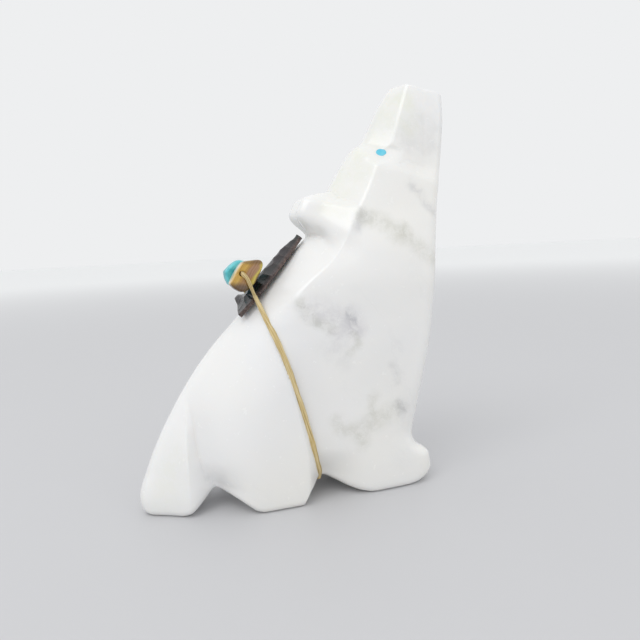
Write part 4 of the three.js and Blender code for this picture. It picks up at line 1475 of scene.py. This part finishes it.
    def _mark_rim(self, piece: bpy.types.Object) -> None:
        """Gives each vertex a rim value: 1 on the near edge's wall, by its place above and across.

        Args:
            piece: The arrowhead, changed in place.
        """
        mesh = piece.data
        place = np.empty(len(mesh.vertices) * 3)
        mesh.vertices.foreach_get("co", place)
        rel = place.reshape(-1, 3) / MM - np.array([TAIL_X, 0, 0]) - self.foot
        along, above = rel @ self.along, rel @ self.above
        half = self.arrow_half_width(along, self.notch_depth)
        near = ease(0.6, 0.9, -rel[:, 1] / np.maximum(half, 0.3))
        low = 1 - ease(0.7, 1.0, above)
        rim = near * low
        mesh.attributes.new("rim", "FLOAT", "POINT").data.foreach_set("value", rim.astype(np.float32))

    @staticmethod
    def _mark_edge_sheen(piece: bpy.types.Object) -> None:
        """Gives each vertex a wear value: how far it stands over the middle of its neighbours.

        Args:
            Gives each vertex its share of the painted sheen on the ridges: how far it stands over the middle
            of its neighbours.
        """
        mesh = piece.data
        count = len(mesh.vertices)
        place = np.empty(count * 3)
        mesh.vertices.foreach_get("co", place)
        place = place.reshape(-1, 3)
        normal = np.empty(count * 3)
        mesh.vertices.foreach_get("normal", normal)
        normal = normal.reshape(-1, 3)
        ends = np.empty(len(mesh.edges) * 2, int)
        mesh.edges.foreach_get("vertices", ends)
        first, second = ends.reshape(-1, 2).T
        total, met = np.zeros((count, 3)), np.zeros(count)
        for a, b in ((first, second), (second, first)):
            np.add.at(total, a, place[b])
            np.add.at(met, a, 1)
        stands = np.einsum("ij,ij->i", place - total / np.maximum(met, 1)[:, None], normal)
        edge_sheen = np.clip(stands / (0.02 * MM), 0, 1)
        mesh.attributes.new("edge_sheen", "FLOAT", "POINT").data.foreach_set("value", edge_sheen.astype(np.float32))

    def build_chip(
        self,
        name: str,
        node: str,
        outline: Pairs,
        near_face: float,
        thickness: float,
        finish: bpy.types.Material,
    ) -> bpy.types.Object:
        """Makes a tumbled chip drilled across: a ring closed both round and through its hole.

        The first parameter goes round the hole. The second goes from the hole out over the near
        face, round the worn edge and back over the far face.

        Args:
            name: The piece's name.
            node: The CAD node that it replaces.
            outline: Its outline along and above the hole, in millimetres.
            near_face: Y of its near face.
            thickness: Its thickness along Y.
            finish: Its material.

        Returns:
            The piece.
        """
        turn = np.linspace(0, 2 * math.pi, 120, endpoint=False)
        reach = self._smoothed(self._ray_reach(np.array(outline, float), turn), 3)
        hole = self.hole_radius
        worn = 0.42
        arc = np.linspace(0, math.pi / 2, 9)
        out = np.linspace(0, 1, 16)[:, None]
        flat = (reach - worn - hole)[None, :]
        face_r = hole + 0.12 + (flat - 0.12) * out
        edge_r = (reach - worn)[None, :] + worn * np.sin(arc[1:, None])
        half = thickness / 2
        wave = 0.1 * np.cos(2 * turn + near_face)[None, :] + 0.07 * np.sin(3 * turn)[None, :]
        face_y = -half + 0.05 + wave * out**2 * 0.8 + 0 * face_r
        edge_y = (-half + 0.05 + wave * 0.8) + worn * (1 - np.cos(arc[1:, None]))
        wall = np.linspace(0, 1, 10)[1:, None]
        wall_r = edge_r[-1:] + 0.06 * np.sin(math.pi * wall)
        wall_y = mix(edge_y[-1:], half - worn, wall)
        back_r = (reach - worn)[None, :] + worn * np.cos(arc[1:, None])
        back_y = half - worn + worn * np.sin(arc[1:, None]) + 0 * back_r
        far_r = face_r[::-1][1:]
        far_y = half - 0.05 * (1 - out[::-1][1:]) + 0 * far_r
        bore = np.linspace(0, 1, 8)[:, None]
        bore_r = hole + 0 * bore * turn[None, :]
        bore_y = mix(half - 0.12, -half + 0.12, bore) + 0 * bore_r
        r = np.concatenate([face_r, edge_r, wall_r, back_r, far_r, bore_r])
        y = np.concatenate([face_y, edge_y, wall_y, back_y, far_y, bore_y])
        middle = near_face + half
        points = self.over_back(
            self.hole_from_base + r * np.cos(turn), middle + y, self.hole_above + r * np.sin(turn),
        )
        vertices, quads = closed_grid(tail_to_frame(points), wrap_rows=True)
        piece = mesh_object(name, vertices, quads, 0.9)
        attach(piece, [node], finish)
        return piece

    @staticmethod
    def _ray_reach(outline: Array, turn: Array) -> Array:
        """How far rays from the hole run to the outline: the crossing with each of its sides.

        Args:
            outline: The outline's points about the hole, by rows.
            turn: The rays' angles, in radians.

        Returns:
            The nearest crossing's distance on each ray.
        """
        start, end = outline, np.roll(outline, -1, 0)
        way = np.stack([np.cos(turn), np.sin(turn)], -1)[:, None, :]
        side = (end - start)[None]
        cross = way[..., 0] * side[..., 1] - way[..., 1] * side[..., 0]
        safe = np.where(np.abs(cross) < 1e-9, 1e-9, cross)
        far = (start[None, :, 0] * side[..., 1] - start[None, :, 1] * side[..., 0]) / safe
        share = (start[None, :, 0] * way[..., 1] - start[None, :, 1] * way[..., 0]) / safe
        valid = (far > 0) & (share >= -1e-6) & (share <= 1 + 1e-6)
        return np.where(valid, far, np.inf).min(1)

    @staticmethod
    def _smoothed(values: Array, passes: int) -> Array:
        """Rounds a closed run of values by repeated (1, 2, 1) / 4 averages.

        Args:
            values: The run.
            passes: How often it is averaged.

        Returns:
            The rounded run.
        """
        for _ in range(passes):
            values = (np.roll(values, 1) + 2 * values + np.roll(values, -1)) / 4
        return values

    def sinew_route(self) -> Array:
        """The binding's route: up the far side, through the chips, down the near side, round the belly.

        Returns:
            The points of one closed run, in millimetres.
        """
        reach = self.sinew_thickness / 2 + 0.04
        heights = np.array([6.8, 9.2, 12.5, 17, 22.5, 28.5, 34.5, 40, 44.6]) * UNIT
        near_notch = self.arrow_width / 2 - self.notch_depth + self.sinew_width / 2 + self.gap * 0.5
        chips_far = self.chips_near_face + self.tigers_eye_thickness + self.gap + self.turquoise_thickness
        belly = self.belly_at * UNIT
        belly_z = float(self.stone.underside(self.belly_at)) - reach
        foot = self.stone.foot_at(belly)

        def half(side: Side, face: float) -> Array:
            """One side's run, from under the belly up and into the chips' hole at a face.

            Args:
                side: The side.
                face: Y of the chips' face on that side.

            Returns:
                The points.
            """
            sign = side.value
            notch_edge = near_notch if side is Side.NEAR else near_notch + 0.5
            beside_chips = max(notch_edge, sign * face + reach + 0.1)
            corner = np.array([foot[0], sign * (abs(foot[1]) + reach), foot[2] - reach])
            notch_to_hole = mix(self.notch_from_base, self.hole_from_base, 0.4)
            over = [
                (self.notch_from_base, sign * notch_edge, self.gap + 0.4 * self.arrow_edge),
                (notch_to_hole, sign * beside_chips, self.chips_above),
                (self.hole_from_base - 0.1, face + sign * (reach + 0.2), self.hole_above - 1),
                (self.hole_from_base, face + sign * 0.2, self.hole_above - 0.22),
                (self.hole_from_base, face - sign * 0.7, self.hole_above),
            ]
            held = self.stone.off_skin(self.stone.binding_x(heights / UNIT), heights, side, reach)
            # Held off along Y alone, so that it keeps to the valley's line in the side view
            held[:, 0] = self.stone.binding_x(heights / UNIT)
            held[:, 2] = heights
            return np.concatenate([
                [[belly, sign * 0.62 * self.stone.sizes.half_thickness, belly_z], corner],
                held,
                self.over_back(*np.array(over).T),
            ])

        near, far = half(Side.NEAR, self.chips_near_face), half(Side.FAR, chips_far)
        under = np.array([[belly, 0.0, belly_z]])
        return np.concatenate([far, near[::-1], under])

    @staticmethod
    def _spline(points: Array, count: int, closed: bool) -> Array:
        """A centripetal spline through points, evenly spaced along its length.

        Each span is the cubic with tangents from its neighbours, weighted by the square roots of
        the distances between points.

        Args:
            points: The points.
            count: How many points the spline gives.
            closed: Whether it meets its own start.

        Returns:
            The spline's points.
        """
        if closed:
            p = np.concatenate([points[-1:], points, points[:2]])
        else:
            p = np.concatenate([2 * points[:1] - points[1:2], points, 2 * points[-1:] - points[-2:-1]])
        knots = np.concatenate([[0], np.cumsum(np.linalg.norm(np.diff(p, axis=0), axis=1) ** 0.5)])
        pieces = []
        for i in range(1, len(p) - 2):
            t0, t1, t2, t3 = knots[i - 1 : i + 3]
            t = np.linspace(t1, t2, 40, endpoint=False)[:, None]
            a1 = (t1 - t) / (t1 - t0) * p[i - 1] + (t - t0) / (t1 - t0) * p[i]
            a2 = (t2 - t) / (t2 - t1) * p[i] + (t - t1) / (t2 - t1) * p[i + 1]
            a3 = (t3 - t) / (t3 - t2) * p[i + 1] + (t - t2) / (t3 - t2) * p[i + 2]
            b1 = (t2 - t) / (t2 - t0) * a1 + (t - t0) / (t2 - t0) * a2
            b2 = (t3 - t) / (t3 - t1) * a2 + (t - t1) / (t3 - t1) * a3
            pieces.append((t2 - t) / (t2 - t1) * b1 + (t - t1) / (t2 - t1) * b2)
        line = np.concatenate([*pieces, p[-2:-1]])
        run = np.concatenate([[0], np.cumsum(np.linalg.norm(np.diff(line, axis=0), axis=1))])
        even = np.linspace(0, run[-1], count + 1 if closed else count)
        even = even[:-1] if closed else even
        return np.stack([np.interp(even, run, line[:, axis]) for axis in range(3)], -1)

    @staticmethod
    def _strand(
        line: Array, outward: Array, width: float, thick: float, closed: bool,
    ) -> tuple[Array, Array]:
        """A flat strand along a line: ellipse sections with shallow lengthwise furrows.

        Args:
            line: The middle line's points.
            outward: For each, the direction that the strand's flat face looks.
            width: Its width.
            thick: Its thickness.
            closed: Whether the line meets its own start.

        Returns:
            Points by rows along and columns round, and their UV, round and along in millimetres.
        """
        if closed:
            ahead, behind = np.roll(line, -1, 0), np.roll(line, 1, 0)
        else:
            ahead, behind = np.concatenate([line[1:], line[-1:]]), np.concatenate([line[:1], line[:-1]])
        forward = ahead - behind
        forward /= np.linalg.norm(forward, axis=1, keepdims=True)
        out = outward - np.einsum("ij,ij->i", outward, forward)[:, None] * forward
        out /= np.linalg.norm(out, axis=1, keepdims=True)
        beside = np.cross(forward, out)
        turn = np.linspace(0, 2 * math.pi, 20, endpoint=False)[None, :]
        along = np.cumsum(np.linalg.norm(np.diff(line, axis=0, prepend=line[:1]), axis=1))[:, None]
        furrow = 1 + 0.05 * np.cos(5 * turn + 0.35 * along) + 0.03 * np.cos(9 * turn - 0.6 * along)
        swell = 1 + 0.05 * np.sin(0.9 * along) + 0.04 * np.sin(2.3 * along)
        x = np.cos(turn) * width / 2 * furrow * swell
        z = np.sin(turn) * thick / 2 * furrow
        points = line[:, None] + x[..., None] * beside[:, None] + z[..., None] * out[:, None]
        uv = np.stack(np.broadcast_arrays(turn / (2 * math.pi), along), -1)
        return points, uv

    def build_sinew(self, finish: bpy.types.Material) -> bpy.types.Object:
        """Makes the binding: the round of sinew, the wraps of its knot and its two cut ends.

        Args:
            finish: Its material.

        Returns:
            The piece.
        """
        route = self.sinew_route()
        line = self._spline(route, 420, True)
        centre = np.stack([self.stone.spine_x(line[:, 2] / UNIT) + 16, 0 * line[:, 0], line[:, 2]], -1)
        side_out = np.stack([0 * line[:, 0], np.sign(line[:, 1]), 0 * line[:, 0]], -1)
        roof_out = line - centre
        roof_out /= np.linalg.norm(roof_out, axis=1, keepdims=True)
        low = ease(30, 40, line[:, 2])[:, None]
        outward = mix(side_out, roof_out, low)
        under = 1 - ease(3.0, 6.0, line[:, 2])[:, None]
        outward = mix(outward, np.array([0.0, 0.0, -1.0]), under)
        strands = [(*self._strand(line, outward, self.sinew_width, self.sinew_thickness, True), True)]
        strands += self._knot_strands()
        return self._join_strands("sinew_round", strands, finish)

    def _knot_strands(self) -> list[tuple[Array, Array, bool]]:
        """The knot on the far side: a tight helix, and the two cut ends that hang from it.

        Returns:
            For each strand, its points, their UV and whether it is closed.
        """
        z = np.array([self.knot_height])
        x = self.stone.binding_x(z / UNIT)
        skin = self.stone.off_skin(x, z, Side.FAR, 0.0)[0]
        seat = self.stone.off_skin(x, z, Side.FAR, self.sinew_thickness / 2 + 0.1)[0]
        out = (seat - skin) / np.linalg.norm(seat - skin)
        above = self.stone.off_skin(self.stone.binding_x((z + 2) / UNIT), z + 2, Side.FAR, 0.5)[0]
        way = above - seat
        way -= way @ out * out
        way /= np.linalg.norm(way)
        beside = np.cross(way, out)
        whole = 2 * math.pi * self.knot_turns
        turn = np.linspace(0, whole, 90)[:, None]
        round_it = self.knot_radius * (np.cos(turn) * beside + np.sin(turn) * 0.8 * out)
        wraps = seat + 0.12 * out + round_it + (turn / whole - 0.5) * self.knot_length * way
        wrap_out = np.cos(turn) * beside + np.sin(turn) * out
        found = [(*self._strand(wraps, wrap_out, 0.8, 0.6, False), False)]
        for lean, length in self.knot_ends:
            share = np.linspace(0, 1, 6)[:, None]
            drop = seat - share * length * way + lean * length * share * beside
            held = self.stone.off_skin(drop[:, 0], drop[:, 2], Side.FAR, 0.45)
            start = seat + 0.9 * out
            drop = mix(start, held, ease(0, 0.6, share))
            drop[:, 2] = mix(seat[2], held[:, 2], share[:, 0])
            line = self._spline(drop, 30, False)
            found.append((*self._strand(line, np.broadcast_to(out, line.shape), 0.9, 0.5, False), False))
        return found

    @staticmethod
    def _join_strands(
        name: str, strands: list[tuple[Array, Array, bool]], finish: bpy.types.Material,
    ) -> bpy.types.Object:
        """Makes one object of strands, with caps on open ends and a UV map.

        Args:
            name: The object's name.
            strands: For each, its points, their UV and whether it is closed.
            finish: Its material.

        Returns:
            The object. U is a share of the way round a strand, and V is millimetres along it.
        """
        vertices, faces, uvs, count = [], [], [], 0
        for points, uv, closed in strands:
            if not closed:
                for end in (0, -1):
                    middle = np.broadcast_to(points[end].mean(0), points[end].shape)[None]
                    wrap = (middle, points) if end == 0 else (points, middle)
                    points = np.concatenate(wrap)
                    uv = np.concatenate([uv[:1], uv] if end == 0 else [uv, uv[-1:]])
            flat, quads = closed_grid(points, closed)
            vertices.append(flat)
            faces.append(quads + count)
            uvs.append(uv.reshape(-1, 2))
            count += len(flat)
        place = tail_to_frame(np.concatenate(vertices))
        corners = np.concatenate(faces)
        mesh = bpy.data.meshes.new(name)
        mesh.from_pydata(place.tolist(), [], corners.tolist())
        layer = mesh.uv_layers.new(name="UVMap")
        flat_uv = np.concatenate(uvs)[corners.ravel()]
        seam = flat_uv.reshape(-1, 4, 2)
        wide = (seam[..., 0].max(1) - seam[..., 0].min(1) > 0.5)[:, None]
        seam[..., 0] = np.where(wide & (seam[..., 0] < 0.5), seam[..., 0] + 1, seam[..., 0])
        layer.data.foreach_set("uv", seam.astype(np.float32).ravel())
        tidy = bmesh.new()
        tidy.from_mesh(mesh)
        bmesh.ops.remove_doubles(tidy, verts=tidy.verts, dist=2e-6)
        bmesh.ops.recalc_face_normals(tidy, faces=tidy.faces)
        mark_sharp(tidy, 1.2)
        tidy.to_mesh(mesh)
        tidy.free()
        piece = bpy.data.objects.new(name, mesh)
        bpy.context.scene.collection.objects.link(piece)
        attach(piece, ["sinew_binding"], finish)
        return piece


@dataclass(frozen=True)
class Studio:
    """The pale floor, the soft light and the camera at the photograph's angle."""

    focal_px: float = 554.0
    image_px: float = 640.0
    camera_at: tuple[float, float, float] = (3.7, -101.9, 45.4)
    turn: float = math.radians(17.56)
    pitch: float = math.radians(7.0)
    roll: float = 0.052
    floor_radius: float = 12.0

    def build_camera(self) -> None:
        """Makes the camera: its axes are the level view turned, pitched down and rolled."""
        data = bpy.data.cameras.new("camera")
        data.sensor_width = 36.0
        data.lens = self.focal_px / self.image_px * data.sensor_width
        data.clip_start, data.clip_end = 0.005, 20.0
        camera = bpy.data.objects.new("camera", data)
        bpy.context.scene.collection.objects.link(camera)
        right = np.array([math.cos(self.turn), -math.sin(self.turn), 0.0])
        level = np.array([math.sin(self.turn), math.cos(self.turn), 0.0])
        look = level * math.cos(self.pitch) - np.array([0, 0, math.sin(self.pitch)])
        up = np.cross(right, look)
        rolled_right = right * math.cos(self.roll) - up * math.sin(self.roll)
        rolled_up = right * math.sin(self.roll) + up * math.cos(self.roll)
        axes = Matrix(np.stack([rolled_right, rolled_up, -look], -1).tolist()).to_4x4()
        place = tail_to_frame(np.array(self.camera_at))
        camera.matrix_world = Matrix.Translation(place) @ axes
        bpy.context.scene.camera = camera

    def build_floor(self) -> None:
        """Makes a level round floor, rings of points about the figure, paler with distance."""
        rings = np.concatenate([[0.0], np.geomspace(0.05, self.floor_radius, 24)])[:, None]
        turn = np.linspace(0, 2 * math.pi, 48, endpoint=False)[None, :]
        points = np.stack([rings * np.cos(turn), rings * np.sin(turn), 0 * rings * turn], -1)
        vertices, quads = closed_grid(points)
        mesh = bpy.data.meshes.new("floor")
        mesh.from_pydata(vertices.tolist(), [], quads[:, ::-1].tolist())
        floor = bpy.data.objects.new("floor", mesh)
        bpy.context.scene.collection.objects.link(floor)
        graph = Graph("pale_floor")
        place = graph.place()
        apart = graph.vector_math("LENGTH", place, output="Value")
        colour = graph.tint(graph.noise(place, 60.0, 3.0) * 0.2, linear(204, 204, 206), linear(199, 199, 201))
        colour = graph.tint(apart.step(0.1, 1.4), colour, linear(251, 252, 252))
        mesh.materials.append(graph.finish(Base_Color=colour, Roughness=0.5))

    def _softbox(self, name: str, place: tuple, target: tuple, size: float, power: float) -> None:
        """Adds a square area light that looks at a point.

        Args:
            name: The light's name.
            place: Where it is, in metres.
            target: The point that it looks at.
            size: Its side, in metres.
            power: Its power, in watts.
        """
        data = bpy.data.lights.new(name, "AREA")
        data.shape, data.size, data.energy = "SQUARE", size, power
        light = bpy.data.objects.new(name, data)
        bpy.context.scene.collection.objects.link(light)
        way = Vector(target) - Vector(place)
        light.matrix_world = Matrix.Translation(place) @ way.to_track_quat("-Z", "Y").to_matrix().to_4x4()

    def build_light(self) -> None:
        """Lights the scene softly from the upper left and the front, with a pale world."""
        middle = (0.005, 0.0, 0.035)
        self._softbox("key", (-0.31, -0.27, 0.60), middle, 0.42, 1.2)
        self._softbox("front", (0.30, -0.75, 0.35), middle, 0.6, 0.40)
        world = bpy.data.worlds.new("studio")
        world.use_nodes = True
        world.node_tree.nodes["Background"].inputs["Color"].default_value = (*linear(238, 239, 240), 1.0)
        world.node_tree.nodes["Background"].inputs["Strength"].default_value = 1.0
        bpy.context.scene.world = world
        bpy.context.scene.view_settings.view_transform = "Standard"

    def build(self) -> None:
        """Makes the whole studio."""
        self.build_camera()
        self.build_floor()
        self.build_light()


TIGERS_EYE_OUTLINE: Pairs = (
    (-2.75, 0.45), (-2.9, -0.6), (-2.7, -1.7), (-2.1, -2.45), (-1.2, -2.8), (0.3, -2.87), (1.7, -2.55),
    (2.7, -2.3), (3.6, -1.95), (4.02, -1.5), (4.1, -0.95), (3.5, -0.35), (2.1, 0.95), (1.6, 1.2), (0.7, 1.22),
    (-0.6, 1.0), (-1.95, 0.68),
)
TURQUOISE_OUTLINE: Pairs = (
    (-2.7, 0), (-2.25, 1.1), (-1.4, 2.1), (0.2, 2.05), (1.45, 1.75), (2, 1.35), (2.75, 0.05), (2.3, -1.5),
    (1.5, -2.85), (-0.5, -2.85), (-2.1, -1.5),
)

# Flake scars on the arrowhead: the middle along it and across it, the radius and the depth, in millimetres
FLAKE_SCARS: Sequence[tuple[float, float, float, float]] = (
    (1.5, -2.6, 1.3, 0.28), (3.0, -3.0, 1.3, 0.34), (1.4, -0.6, 1.6, 0.25), (3.6, 1.0, 1.8, 0.22),
    (6.3, -3.6, 1.6, 0.42), (8.0, -3.4, 1.7, 0.45), (7.0, 2.9, 1.6, 0.3), (10.4, -2.9, 1.9, 0.42),
    (9.8, 2.3, 1.6, 0.26), (12.6, -2.3, 1.6, 0.34), (12.6, 1.8, 1.5, 0.22), (14.6, -1.9, 1.5, 0.3),
    (15.2, 1.3, 1.4, 0.2), (16.6, -1.3, 1.3, 0.26), (17.8, 0.5, 1.1, 0.16), (11.3, -0.4, 1.4, 0.2),
    (13.6, 0.2, 1.2, 0.16), (16.2, 0.0, 1.1, 0.12),
)


def main() -> None:
    """Builds the pieces in order."""
    logging.basicConfig(level=logging.INFO, format="%(message)s")
    stone = CoyoteStone(StoneSizes())
    body = CarvedBody(stone)
    bundle = Bundle(stone)
    made = [body.build(MarbleFinish())]
    eye_finish = TurquoiseFinish(
        "eye_turquoise", linear(84, 194, 222), linear(122, 212, 232), matrix_share=0.0, roughness=0.25,
    ).material()
    made += [body.build_eye(side, eye_finish) for side in Side]
    made.append(bundle.build_arrowhead(ArrowheadFinish().material()))
    hole = bundle.over_back(bundle.hole_from_base, bundle.chips_near_face, bundle.hole_above)
    band_way, rim_way = (
        tuple(shares[0] * bundle.along + shares[1] * bundle.above)
        for shares in (bundle.band_shares, bundle.rim_shares)
    )
    tigers_eye = TigersEyeFinish(tuple(tail_to_frame(hole)), band_way, rim_way)
    made.append(bundle.build_chip(
        "tigers_eye_nugget", "tigers_eye_chip", TIGERS_EYE_OUTLINE, bundle.chips_near_face,
        bundle.tigers_eye_thickness, tigers_eye.material(),
    ))
    turquoise = TurquoiseFinish("turquoise", linear(66, 176, 186), linear(112, 208, 216)).material()
    made.append(bundle.build_chip(
        "turquoise_nugget", "turquoise_chip", TURQUOISE_OUTLINE,
        bundle.chips_near_face + bundle.tigers_eye_thickness + bundle.gap, bundle.turquoise_thickness,
        turquoise,
    ))
    made.append(bundle.build_sinew(SinewFinish().material()))
    for piece in made:
        log.info("%s: %d faces", piece.name, len(piece.data.polygons))
    Studio().build()


if __name__ == "__main__":
    main()
